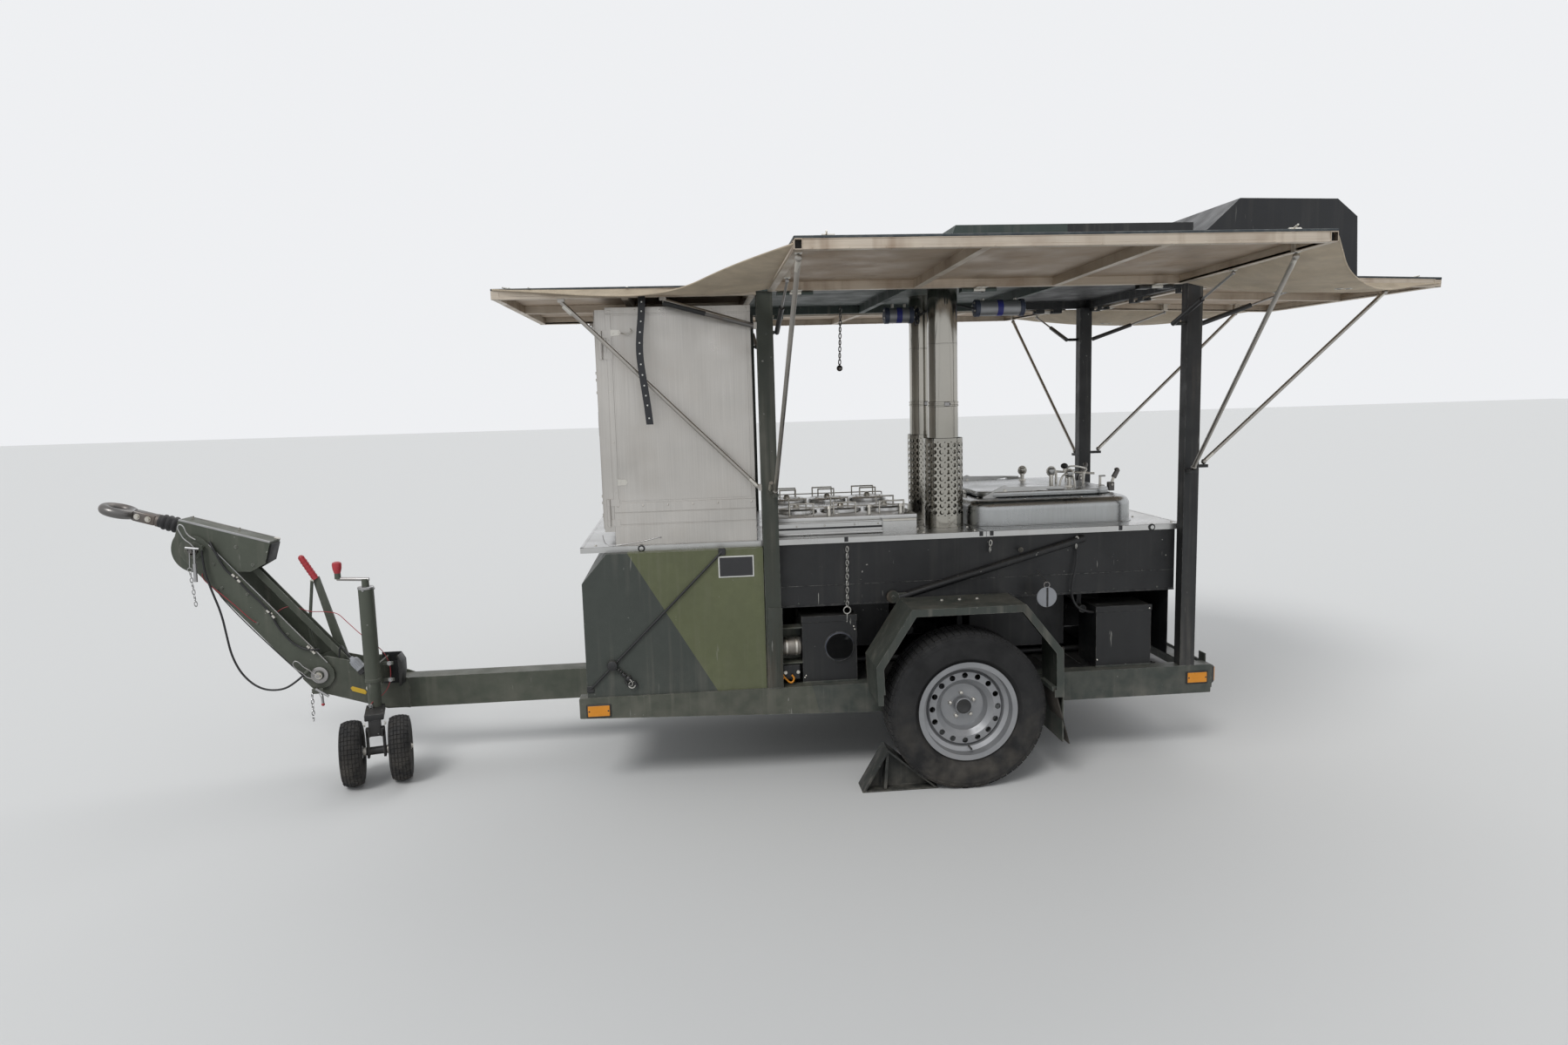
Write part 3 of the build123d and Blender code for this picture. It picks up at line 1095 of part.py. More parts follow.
# Wheel chocks in front of the road wheels, their slope just clear of the tread
CHOCK_TOE = -129.0  # from the axle
CHOCK_HEIGHT = 190.0
slope = 2 * atan2(-CHOCK_TOE - 1.0, TYRE_R)
chock = ((CHOCK_TOE - 340.0, 0.0), (CHOCK_TOE, 0.0), (CHOCK_TOE - CHOCK_HEIGHT / tan(slope), CHOCK_HEIGHT))
with BuildPart() as chocks:
    for side in (-1, 1):
        cross_plate([(AXLE_X + x, z) for x, z in chock], side * 740.0, side * 860.0)
save(chocks, "chocks")

# Two work lamps under the roof
LAMPS = (  # X, Y, Z of the middle, length, along X
    (AXLE_X - 85.0, 60.0, 2130.0, 150.0),
    (AXLE_X + 370.0, -150.0, 2140.0, 250.0),
)
with BuildPart() as lamps:
    for x, y, z, length in LAMPS:
        bar((x - length / 2, y, z), (x + length / 2, y, z), 42.0)
        bar((x, y, z), (x, y, ROOF_SHEET_Z - SEAT), 10.0)
save(lamps, "lamps")


def corner_sheet(corners, side):
    """A canvas between three corners, drawn for one side of the trailer."""
    a, b, c = [Vector(x, side * y, z) for x, y, z in corners]
    normal = (b - a).cross(c - a)
    if normal.Z < 0:
        normal = -normal
    plane = Plane(origin=a, x_dir=(b - a).normalized(), z_dir=normal.normalized())
    with BuildSketch(plane) as cloth:
        with BuildLine():
            Polyline(*[tuple(plane.to_local_coords(p))[:2] for p in (a, b, c)], close=True)
        make_face()
    extrude(cloth.sketch, amount=CANVAS)


# Canvases that close the corners between the flaps
CANVAS = 3.0
CANVAS_REACH = ROOF_HALF_W + HINGE_OUT + SIDE_FLAP_REACH - 15.0
CANVAS_FRONT = (  # corner at the hinges, along the front flap, out along the side flap
    (SIDE_FLAP_FRONT - SEAT, FRONT_FLAP_HALF_W + SEAT, 2188.0),
    (AXLE_X - 1280.0, FRONT_FLAP_HALF_W + SEAT, 2178.0),
    (SIDE_FLAP_FRONT - SEAT, CANVAS_REACH, 2226.0),
)
CANVAS_REAR = (
    (SIDE_FLAP_REAR + SEAT, REAR_FLAP_HALF_W + SEAT, 2192.0),
    (AXLE_X + REAR_REACH - 249.0, REAR_FLAP_HALF_W + SEAT, 2160.0),
    (SIDE_FLAP_REAR + SEAT, CANVAS_REACH, 2212.0),
)
for name, corners in (("front", CANVAS_FRONT), ("rear", CANVAS_REAR)):
    with BuildPart() as canvas:
        for side in (-1, 1):
            corner_sheet(corners, side)
    save(canvas, f"canvas_{name}")

with BuildPart() as arm_cable:
    with BuildLine() as path:
        FilletPolyline(*route, radius=radii)
    with BuildSketch(Plane(origin=path.line @ 0, z_dir=path.line % 0)):
        Circle(CABLE_R)
    sweep()
save(arm_cable, "arm_cable")
print("arm cable: length", round(path.wires()[0].length), "radii", [round(r) for r in radii])
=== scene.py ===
import math

import bmesh
import bpy
from mathutils import Matrix, Vector
from mathutils.geometry import normal


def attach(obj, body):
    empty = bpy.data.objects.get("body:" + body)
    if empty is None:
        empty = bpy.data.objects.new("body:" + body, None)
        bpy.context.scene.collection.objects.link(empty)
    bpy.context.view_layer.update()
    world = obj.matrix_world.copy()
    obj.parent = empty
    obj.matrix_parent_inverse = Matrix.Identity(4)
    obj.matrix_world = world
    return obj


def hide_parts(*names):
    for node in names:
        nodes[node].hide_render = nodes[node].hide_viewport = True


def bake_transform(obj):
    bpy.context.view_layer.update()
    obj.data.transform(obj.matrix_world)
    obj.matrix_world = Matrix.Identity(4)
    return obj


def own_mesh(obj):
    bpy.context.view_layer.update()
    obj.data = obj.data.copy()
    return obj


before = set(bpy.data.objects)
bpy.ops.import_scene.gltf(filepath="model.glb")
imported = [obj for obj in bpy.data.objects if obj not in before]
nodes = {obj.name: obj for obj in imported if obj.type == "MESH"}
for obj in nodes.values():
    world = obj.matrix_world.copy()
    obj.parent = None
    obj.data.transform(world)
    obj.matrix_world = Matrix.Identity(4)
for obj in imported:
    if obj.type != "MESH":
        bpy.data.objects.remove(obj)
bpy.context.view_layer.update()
AXLE = 0.8465  # X of the road wheels' axle
X, Y, Z = Vector((1, 0, 0)), Vector((0, 1, 0)), Vector((0, 0, 1))
SIDES = (("left", -1), ("right", 1))


def mm(*values):
    return Vector(values) / 1000


def at(x, y, z):
    """A point given in millimetres from the floor under the middle of the axle."""
    return Vector((AXLE + x / 1000, y / 1000, z / 1000))


# Shader groups: each draws one kind of wear, from noise in the part's own frame

def put(tree, kind, inputs=None, **settings):
    """A shader node with its settings, and its inputs as values or as sockets to link."""
    node = tree.nodes.new("ShaderNode" + kind)
    for key, value in settings.items():
        setattr(node, key, value)
    for key, value in (inputs or {}).items():
        if isinstance(value, bpy.types.NodeSocket):
            tree.links.new(value, node.inputs[key])
        else:
            node.inputs[key].default_value = value
    return node


def effect(name, inputs, *outputs):
    """An empty shader group: its tree, its named sockets, and the place that its noise is drawn from."""
    group = bpy.data.node_groups.new(name, "ShaderNodeTree")
    for label, value in inputs.items():
        kind = "Vector" if isinstance(value, tuple) else "Float"
        socket = group.interface.new_socket(label, in_out="INPUT", socket_type="NodeSocket" + kind)
        socket.default_value = value
    for label in outputs:
        group.interface.new_socket(label, in_out="OUTPUT", socket_type="NodeSocketFloat")
    given, out = group.nodes.new("NodeGroupInput").outputs, group.nodes.new("NodeGroupOutput").inputs
    return group, given, out, put(group, "TexCoord").outputs["Object"]


def worked(tree, operation, *values):
    """What a Math node makes of some values."""
    return put(tree, "Math", dict(enumerate(values)), operation=operation).outputs[0]


def times(tree, first, *factors):
    for factor in factors:
        first = worked(tree, "MULTIPLY", first, factor)
    return first


def ranged(tree, value, low=0.0, high=1.0, to_low=0.0, to_high=1.0):
    """A value carried from one range to another and held at its ends."""
    ends = {"From Min": low, "From Max": high, "To Min": to_low, "To Max": to_high}
    return put(tree, "MapRange", {"Value": value, **ends}).outputs[0]


def noise(tree, place, scale, detail, **more):
    return put(tree, "TexNoise", {"Vector": place, "Scale": scale, "Detail": detail, **more}).outputs["Fac"]


def patches(tree, place, scale, low, high, detail=4.0):
    """Noise turned into a mask that is 0 below low and 1 above high."""
    return ranged(tree, noise(tree, place, scale, detail), low, high)


def drawn(tree, place, **change):
    """The place stretched or turned, for marks that run one way."""
    return put(tree, "Mapping", {"Vector": place, **change}).outputs[0]


def worn_edges():
    """Where a corner is rubbed bare, broken up by noise."""
    tree, given, out, place = effect("worn edges", {"Width": 0.004, "Amount": 0.6}, "Mask")
    bevel = put(tree, "Bevel", {"Radius": given["Width"]}, samples=4).outputs[0]
    flat = put(tree, "NewGeometry").outputs["Normal"]
    dot = put(tree, "VectorMath", {0: bevel, 1: flat}, operation="DOT_PRODUCT").outputs["Value"]
    broken = patches(tree, place, 38.0, 0.42, 0.60)
    tree.links.new(times(tree, ranged(tree, dot, 0.97, 0.80), broken, given["Amount"]), out["Mask"])
    return tree


def road_dust():
    """Dust on what faces up, and splashes near the road."""
    tree, given, out, place = effect("road dust", {"Top": 0.5, "Splash": 0.4, "Reach": 0.6}, "Mask")
    up = put(tree, "SeparateXYZ", {0: put(tree, "NewGeometry").outputs["Normal"]}).outputs["Z"]
    lying = times(tree, ranged(tree, up, 0.35, 0.95), patches(tree, place, 7.0, 0.25, 0.75), given["Top"])
    height = put(tree, "SeparateXYZ", {0: place}).outputs["Z"]
    low = times(tree, ranged(tree, height, given["Reach"], 0.0), patches(tree, place, 14.0, 0.35, 0.72))
    tree.links.new(worked(tree, "MAXIMUM", lying, times(tree, low, given["Splash"])), out["Mask"])
    return tree


def rain_streaks():
    """Thin marks that run down a surface."""
    tree, given, out, place = effect("rain streaks", {"Amount": 0.4, "Fineness": 45.0}, "Mask")
    lines = patches(tree, drawn(tree, place, Scale=(1.0, 1.0, 0.045)), given["Fineness"], 0.52, 0.74, 3.0)
    tree.links.new(times(tree, lines, patches(tree, place, 3.0, 0.35, 0.65), given["Amount"]), out["Mask"])
    return tree


def scratches():
    """Short pale scratches and small chips."""
    tree, given, out, place = effect("scratches", {"Amount": 0.5, "Fineness": 60.0}, "Mask")
    slanted = drawn(tree, place, Rotation=(0.4, 0.7, 0.3), Scale=(1.0, 1.0, 0.12))
    lines = patches(tree, slanted, given["Fineness"], 0.72, 0.76, 2.0)
    chips = patches(tree, place, given["Fineness"], 0.735, 0.75, 2.0)
    both = times(tree, worked(tree, "MAXIMUM", lines, chips), patches(tree, place, 4.5, 0.46, 0.56))
    tree.links.new(times(tree, both, given["Amount"]), out["Mask"])
    return tree


def brushing():
    """Fine grain drawn along one direction, as a tone round 1 and as height."""
    tree, given, out, place = effect(
        "brushing", {"Stretch": (1.0, 1.0, 0.02), "Fineness": 420.0}, "Tone", "Height"
    )
    grain = noise(tree, drawn(tree, place, Scale=given["Stretch"]), given["Fineness"], 2.0)
    tree.links.new(ranged(tree, grain, to_low=0.86, to_high=1.12), out["Tone"])
    tree.links.new(grain, out["Height"])
    return tree


def uneven_tone():
    """A slow change of tone over a surface, round 1."""
    tree, given, out, place = effect("uneven tone", {"Scale": 2.5, "Spread": 0.12}, "Tone")
    centred = worked(tree, "SUBTRACT", noise(tree, place, given["Scale"], 5.0, Roughness=0.6), 0.5)
    tree.links.new(worked(tree, "MULTIPLY_ADD", centred, times(tree, given["Spread"], 4.0), 1.0), out["Tone"])
    return tree


EDGES, DUST, STREAKS = worn_edges(), road_dust(), rain_streaks()
SCRATCHES, BRUSHED, TONE = scratches(), brushing(), uneven_tone()


# Materials

class Look:
    """A material while it is made: its colour and bumps so far, and steps that add to them."""

    def __init__(self, name, colour, rough, metal_share=0.0):
        self.made = bpy.data.materials.new(name)
        self.made.use_nodes = True
        self.tree = self.made.node_tree
        self.shader = self.tree.nodes["Principled BSDF"]
        for key, value in (("Base Color", (*colour, 1.0)), ("Roughness", rough), ("Metallic", metal_share)):
            self.shader.inputs[key].default_value = value
        self.place = put(self.tree, "TexCoord").outputs["Object"]
        self.colour, self.normal = colour, None

    def use(self, group, **values):
        """The outputs of one of the groups above."""
        return put(self.tree, "Group", values, node_tree=group).outputs

    def tone(self, factor):
        """Makes the colour lighter or darker by a factor round 1."""
        scaled = put(self.tree, "VectorMath", {0: self.colour, "Scale": factor}, operation="SCALE")
        self.colour = scaled.outputs[0]

    def uneven(self, scale, spread):
        self.tone(self.use(TONE, Scale=scale, Spread=spread)["Tone"])

    def cover(self, mask, colour):
        """Lays another colour where the mask is 1."""
        base = self.colour if isinstance(self.colour, bpy.types.NodeSocket) else (*self.colour, 1.0)
        mix = put(self.tree, "Mix", {0: mask, 6: base, 7: (*colour, 1.0)}, data_type="RGBA")
        self.colour = mix.outputs[2]

    def blotch(self, scale, low, high, share, colour):
        self.cover(times(self.tree, patches(self.tree, self.place, scale, low, high), share), colour)

    def wear(self, group, colour, **values):
        self.cover(self.use(group, **values)["Mask"], colour)

    def bump(self, height, distance):
        before = {"Normal": self.normal} if self.normal else {}
        self.normal = put(self.tree, "Bump", {"Height": height, "Distance": distance, **before}).outputs[0]

    def grain(self, scale, detail, distance):
        """Bumps from noise."""
        self.bump(noise(self.tree, self.place, scale, detail), distance)

    def done(self, low, high, scale):
        """The material, with roughness that changes in patches from low to high."""
        ends = max(0.05, low), min(1.0, high)
        rough = ranged(self.tree, noise(self.tree, self.place, scale, 4.0), 0.3, 0.7, *ends)
        for socket, key in ((self.colour, "Base Color"), (rough, "Roughness"), (self.normal, "Normal")):
            if socket:
                self.tree.links.new(socket, self.shader.inputs[key])
        return self.made


OLIVE, DARK_GREEN, BLACK_GREEN = (0.098, 0.108, 0.052), (0.040, 0.048, 0.041), (0.017, 0.018, 0.019)
DUST_COLOUR, CHIP_COLOUR, RUST = (0.235, 0.215, 0.180), (0.330, 0.325, 0.300), (0.150, 0.062, 0.028)
SPLASH_COLOUR = (0.13, 0.115, 0.095)


def paint(
    name, colour, zone=None, rough=0.52, edges=0.5, dust=0.35, splash=0.5, reach=0.6, marks=0.5, streak=0.35,
    rust=0.0,
):
    """Matt vehicle paint. A zone is another colour, and the normal and offset of the plane it lies beyond."""
    look = Look(name, colour, rough)
    if zone:
        other, across, offset = zone
        dot = put(look.tree, "VectorMath", {0: look.place, 1: across}, operation="DOT_PRODUCT")
        look.cover(worked(look.tree, "GREATER_THAN", dot.outputs["Value"], offset), other)
    look.uneven(2.2, 0.16)
    look.uneven(26.0, 0.07)
    if streak:
        look.wear(STREAKS, DUST_COLOUR, Amount=streak, Fineness=30.0)
    if rust:
        look.wear(STREAKS, RUST, Amount=rust, Fineness=17.0)
    look.wear(SCRATCHES, CHIP_COLOUR, Amount=marks, Fineness=55.0)
    look.wear(EDGES, CHIP_COLOUR, Amount=edges)
    look.wear(DUST, DUST_COLOUR, Top=dust, Splash=splash, Reach=reach)
    look.grain(260.0, 2.0, 0.0004)
    return look.done(rough - 0.09, rough + 0.14, 9.0)


def metal(
    name, colour, rough, stretch=None, fineness=420.0, stains=0.0, stain=(0.20, 0.15, 0.10), dents=0.0,
    spread=0.08
):
    """Bare sheet or bar: brushed along one direction, with stains and soft dents."""
    look = Look(name, colour, rough, 1.0)
    look.uneven(3.0, spread)
    if stretch:
        brushed = look.use(BRUSHED, Stretch=stretch, Fineness=fineness)
        look.tone(brushed["Tone"])
        look.bump(brushed["Height"], 0.00012)
    if stains:
        look.wear(STREAKS, stain, Amount=stains, Fineness=16.0)
        look.blotch(5.0, 0.50, 0.78, stains, stain)
    if dents:
        look.grain(3.2, 1.0, dents)
    return look.done(rough * 0.8, rough * 1.35 + 0.04, 6.0)


def rubber(name, colour, rough, dust=0.3, splash=0.8, reach=0.7, grain=180.0):
    look = Look(name, colour, rough)
    look.uneven(5.0, 0.2)
    look.wear(DUST, SPLASH_COLOUR, Top=dust, Splash=splash, Reach=reach)
    look.grain(grain, 3.0, 0.0008)
    return look.done(rough - 0.14, rough + 0.12, 12.0)


def plain(name, colour, rough, metal_share=0.0, spread=0.12):
    """A small fitting's finish: slightly uneven, dusty on top."""
    look = Look(name, colour, rough, metal_share)
    look.uneven(14.0, spread)
    look.wear(DUST, DUST_COLOUR, Top=0.25, Splash=0.25, Reach=0.5)
    return look.done(rough - 0.08, rough + 0.12, 22.0)


def canvas_cloth():
    """Proofed canvas: its weave, and dirt in blotches."""
    look = Look("proofed canvas", (0.58, 0.485, 0.36), 0.75)
    look.uneven(2.4, 0.22)
    look.uneven(18.0, 0.10)
    look.blotch(6.0, 0.50, 0.74, 0.35, (0.30, 0.23, 0.16))
    threads = []
    for turn in (0.0, math.pi / 2):
        thread = {"Vector": drawn(look.tree, look.place, Rotation=(0, 0, turn)), "Scale": 160.0}
        threads.append(put(look.tree, "TexWave", {**thread, "Distortion": 0.6, "Detail": 1.0}).outputs["Fac"])
    woven = worked(look.tree, "ADD", *threads)
    look.tone(ranged(look.tree, woven, 0.0, 2.0, 0.90, 1.08))
    slow = noise(look.tree, look.place, 9.0, 3.0)
    look.bump(worked(look.tree, "MULTIPLY_ADD", slow, 9.0, woven), 0.0007)
    return look.done(0.62, 0.88, 8.0)


# The cabinet's two greens meet along a slanting line through this point
CABINET_LINE = (0.863, 0.0, 0.505), 0.863 * (AXLE - 1.441) + 0.505 * 1.048
ALONG_X, ALONG_Z = (0.02, 1.0, 1.0), (1.0, 1.0, 0.012)  # how brushed grain is stretched
AHEAD = (1.0, 0.0, 0.0)

drawbar_green = paint("drawbar green paint", (0.062, 0.070, 0.052), splash=0.45, marks=0.6, edges=0.7)
rail_green = paint(
    "rail green paint", (0.058, 0.064, 0.048), (DARK_GREEN, (1.0, 0.0, 0.25), 0.30), splash=0.6
)
cabinet_paint = paint(
    "cabinet camouflage", (0.041, 0.048, 0.041), (OLIVE, *CABINET_LINE), dust=0.2, splash=0.35, marks=0.35,
    streak=0.22
)
fender_green = paint("fender green paint", (0.036, 0.043, 0.036), splash=0.55, rust=0.12)
post_green = paint(
    "post green paint", (0.030, 0.035, 0.026), (BLACK_GREEN, AHEAD, AXLE + 0.9), marks=0.6, rust=0.15
)
roof_green = paint(
    "roof camouflage", (0.045, 0.062, 0.055), (BLACK_GREEN, AHEAD, AXLE + 0.56), dust=0.5, marks=0.3
)
black_paint = paint(
    "black paint", (0.009, 0.0095, 0.0105), rough=0.45, dust=0.12, splash=0.18, reach=0.5, marks=0.9,
    streak=0.08
)
hood_black = paint("hood black paint", (0.007, 0.008, 0.010), rough=0.4, dust=0.10, marks=0.2, streak=0.08)
chock_paint = paint("chock paint", (0.016, 0.018, 0.016), rough=0.6, dust=0.12, splash=0.35, reach=0.14)
rusty_paint = paint(
    "rusty dark paint", (0.030, 0.034, 0.026), rough=0.62, dust=0.3, splash=0.4, marks=0.7, edges=0.6,
    rust=0.5
)
flap_line = paint("flap edge paint", (0.030, 0.040, 0.046), rough=0.45, dust=0.4, marks=0.2, streak=0.0)

filter_alloy = metal(
    "cast filter bowl", (0.34, 0.32, 0.29), 0.5, (1.0, 1.0, 1.0), 90.0, stains=0.5, stain=(0.10, 0.08, 0.06),
    dents=0.004
)
lid_alloy = metal("cast lid arm", (0.50, 0.50, 0.49), 0.34, stains=0.12, stain=(0.25, 0.23, 0.20))
aluminium = metal(
    "faded aluminium", (0.43, 0.345, 0.265), 0.52, ALONG_X, 300.0, stains=0.4, stain=(0.22, 0.16, 0.11),
    dents=0.004
)
frame_alloy = metal(
    "edge frame alloy", (0.55, 0.485, 0.405), 0.45, ALONG_X, 300.0, stains=0.55, stain=(0.20, 0.12, 0.07)
)
oven_steel = metal(
    "oven sheet", (0.52, 0.50, 0.47), 0.34, ALONG_Z, 260.0, stains=0.14, stain=(0.34, 0.28, 0.22), dents=0.012
)
kitchen_steel = metal("kitchen steel", (0.55, 0.55, 0.54), 0.26, ALONG_X, stains=0.12, dents=0.002)
kettle_steel = metal(
    "kettle steel", (0.40, 0.41, 0.41), 0.24, (1.0, 1.0, 0.03), 380.0, stains=0.10, dents=0.003
)
flue_steel = metal(
    "polished flue steel", (0.40, 0.385, 0.345), 0.09, stains=0.10, stain=(0.38, 0.30, 0.20), dents=0.0015
)
bare_steel = metal("bare steel", (0.40, 0.40, 0.40), 0.36, stains=0.35, stain=(0.16, 0.09, 0.05))
dark_steel = metal("worn dark steel", (0.17, 0.165, 0.16), 0.38, stains=0.4, stain=(0.12, 0.065, 0.035))
stay_steel = metal("stay tube", (0.42, 0.40, 0.37), 0.34, (0.02, 0.02, 0.02), 300.0, stains=0.2)
zinc = metal("zinc plated", (0.62, 0.60, 0.55), 0.30, stains=0.25, spread=0.14)

rubber_brown = rubber("mud flap rubber", (0.030, 0.025, 0.020), 0.85, dust=0.35)
tyre_rubber = rubber("tyre rubber", (0.0115, 0.0115, 0.012), 0.86, dust=0.12, splash=0.55, reach=0.45)
black_rubber = rubber("black rubber", (0.018, 0.018, 0.019), 0.6, splash=0.3)
cable_black = rubber("cable sheath", (0.014, 0.014, 0.015), 0.42, dust=0.1, splash=0.1, grain=700.0)
cloth = canvas_cloth()

# Rim silver: its own grey is set darker as painted shade, so the wheels look as they do in shadow. The lamps
# and hub fittings share it.
silver = plain("rim silver darkened as painted shade", (0.31, 0.315, 0.325), 0.38, 0.55, spread=0.10)
chain_steel = plain("bright chain", (0.46, 0.45, 0.42), 0.34, 0.85)
webbing_black = plain("black strap", (0.014, 0.015, 0.018), 0.42)
lens_red = plain("red lamp lens", (0.35, 0.012, 0.010), 0.12)
lens_clear = plain("clear lamp lens", (0.55, 0.55, 0.53), 0.12)
cable_red = plain("red cable sheath", (0.34, 0.035, 0.045), 0.4)
grip_red = plain("red grip", (0.40, 0.030, 0.040), 0.33)
plastic_black = plain("black plastic", (0.020, 0.020, 0.021), 0.38)
plastic_grey = plain("grey plastic", (0.30, 0.31, 0.33), 0.42)
plastic_blue = plain("blue cap plastic", (0.045, 0.055, 0.090), 0.45)
plate_black = plain("blank plate", (0.022, 0.022, 0.024), 0.35)
plate_white = plain("plate frame white", (0.60, 0.60, 0.57), 0.45)
yellow = plain("yellow label", (0.66, 0.42, 0.03), 0.5)
orange = plain("orange fitting", (0.70, 0.26, 0.012), 0.35)
blue_tape = plain("blue tape", (0.03, 0.035, 0.22), 0.45)

NODE_FINISHES = {
    drawbar_green: "drawbar drawbar_arm upper_link coupling_head handbrake jockey_tube jockey_leg",
    rail_green: "side_rails cross_members",
    cabinet_paint: "front_cabinet",
    fender_green: "fenders axle_beam chocks",
    post_green: "posts",
    roof_green: "roof roof_box",
    hood_black: "rear_hood",
    black_paint: "kitchen_tub side_boxes jockey_fork",
    silver: "wheel_left wheel_right jockey_hubs",
    aluminium: "flap_left flap_right flap_rear front_flap",
    oven_steel: "oven oven_door_left oven_door_right",
    kitchen_steel: "worktop stove lamps",
    kettle_steel: "kettle kettle_lid",
    flue_steel: "flues",
    dark_steel: "towing_eye",
    bare_steel: "strut_rods_left strut_rods_right strut_rods_rear",
    plastic_black: "strut_barrels_left strut_barrels_right strut_barrels_rear",
    stay_steel: "stay_front_left stay_front_right stay_rear_left stay_rear_right"
    " stay_back_left stay_back_right front_stays",
    tyre_rubber: "tyre_left tyre_right jockey_tyres",
    black_rubber: "gaiter",
    cloth: "canvas_front canvas_rear",
    cable_black: "arm_cable",
}
for made, names in NODE_FINISHES.items():
    for name in names.split():
        nodes[name].data.materials.clear()
        nodes[name].data.materials.append(made)


# Camera, light and floor

def added(obj):
    bpy.context.scene.collection.objects.link(obj)
    return obj


def set_camera(place, yaw, pitch, roll, focal):
    """The photograph's camera: yaw right of +Y, pitch down, roll clockwise, focal length in image widths."""
    look = Vector((math.sin(yaw) * math.cos(pitch), math.cos(yaw) * math.cos(pitch), -math.sin(pitch)))
    right = Vector((math.cos(yaw), -math.sin(yaw), 0))
    down = look.cross(right)
    level = right * math.cos(roll) + down * math.sin(roll)
    drop = down * math.cos(roll) - right * math.sin(roll)
    data = bpy.data.cameras.new("camera")
    data.sensor_width = 36.0
    data.lens = focal * data.sensor_width
    data.clip_end = 200.0
    camera = added(bpy.data.objects.new("camera", data))
    camera.matrix_world = Matrix.Translation(place) @ Matrix((level, -drop, -look)).transposed().to_4x4()
    bpy.context.scene.camera = camera


def set_light():
    """An even bright studio: the world lights softly and is seen paler, with two broad suns."""
    scene = bpy.context.scene
    scene.view_settings.view_transform = "Standard"
    scene.world = bpy.data.worlds.new("studio")
    scene.world.use_nodes = True
    tree = scene.world.node_tree
    fill = tree.nodes["Background"]
    fill.inputs["Color"].default_value = (0.93, 0.96, 1.0, 1)
    fill.inputs["Strength"].default_value = 0.62
    pale = put(tree, "Background", {"Color": (0.86, 0.87, 0.89, 1), "Strength": 1.0}).outputs[0]
    rays = put(tree, "LightPath").outputs
    seen = worked(tree, "MAXIMUM", rays["Is Camera Ray"], rays["Is Glossy Ray"])
    seen = worked(tree, "MAXIMUM", seen, rays["Is Transmission Ray"])
    mix = put(tree, "MixShader", {0: seen, 1: fill.outputs[0], 2: pale})
    tree.links.new(mix.outputs[0], tree.nodes["World Output"].inputs["Surface"])
    for name, strength, angle, direction in (
        ("key", 1.25, 22.0, (0.45, 0.75, -1.0)), ("rim", 0.55, 40.0, (-0.5, -0.9, -1.1))
    ):
        data = bpy.data.lights.new(name, "SUN")
        data.energy = strength
        data.angle = math.radians(angle)
        sun = added(bpy.data.objects.new(name, data))
        sun.rotation_euler = Vector(direction).to_track_quat("-Z", "Y").to_euler()


def floor():
    bm = bmesh.new()
    bmesh.ops.create_grid(bm, x_segments=1, y_segments=1, size=60.0)
    mesh = bpy.data.meshes.new("floor")
    bm.to_mesh(mesh)
    bm.free()
    mesh.materials.append(Look("studio floor", (0.66, 0.66, 0.65), 0.9).made)
    added(bpy.data.objects.new("floor", mesh))


CAMERA_PLACE = (-0.32627, -5.01892, 1.74488)
CAMERA_TURN = (5.35456, 7.25853, 1.6109)  # yaw, pitch and roll, in degrees
FOCAL, PICTURE_WIDTH = 1147.869, 1800
set_camera(CAMERA_PLACE, *(math.radians(a) for a in CAMERA_TURN), FOCAL / PICTURE_WIDTH)
set_light()
floor()


# Shapes: every helper makes one shape by itself and joins it to a piece's bmesh. Places are vectors, in
# metres, and every radius, rounding and thickness is in millimetres

SCRATCH = bpy.data.meshes.new("scratch")


def joined(bm, part, index=0):
    """Adds a finished shape to a piece, all its faces in one finish."""
    for face in part.faces:
        face.material_index = index
    part.to_mesh(SCRATCH)
    part.free()
    bm.from_mesh(SCRATCH)


def placed(bm, matrix):
    bmesh.ops.transform(bm, matrix=matrix, verts=bm.verts[:])
    return bm


def rounded(part, offset, segments):
    """Rounds all the edges of a shape."""
    if offset:
        bmesh.ops.bevel(
            part, geom=part.edges[:], offset=offset / 1000, segments=segments, affect="EDGES", profile=0.5,
            material=-1
        )


def slab(bm, low, high, rounding=0.0, index=0, steps=1):
    """A block between two corners, its edges rounded."""
    part = bmesh.new()
    bmesh.ops.create_cube(part, size=1.0)
    size = [abs(a - b) for a, b in zip(low, high)]
    placed(part, Matrix.Translation((Vector(low) + Vector(high)) / 2) @ Matrix.Diagonal((*size, 1)))
    rounded(part, rounding, steps)
    joined(bm, part, index)


def aimed(origin, direction):
    """A frame at a point with its Z along a direction."""
    return Matrix.Translation(origin) @ Vector(direction).to_track_quat("Z", "Y").to_matrix().to_4x4()


def rod(bm, start, end, radius, tip=None, index=0, sides=20):
    """A round bar or cone between two points."""
    part = bmesh.new()
    run = Vector(end) - Vector(start)
    bmesh.ops.create_cone(
        part, cap_ends=True, segments=sides, radius1=radius / 1000,
        radius2=(radius if tip is None else tip) / 1000, depth=run.length,
        matrix=aimed((Vector(start) + Vector(end)) / 2, run),
    )
    joined(bm, part, index)


def slabs(bm, *rows, place=at):
    """Blocks, each as two corners, rounding and finish, in millimetres."""
    for x0, y0, z0, x1, y1, z1, rounding, *rest in rows:
        slab(bm, place(x0, y0, z0), place(x1, y1, z1), rounding, *rest)


def rods(bm, *rows, place=at):
    """Bars and cones, each as two ends, the radius at either, finish and sides, in millimetres."""
    for x0, y0, z0, x1, y1, z1, radius, tip, *rest in rows:
        rod(bm, place(x0, y0, z0), place(x1, y1, z1), radius, tip, *rest)


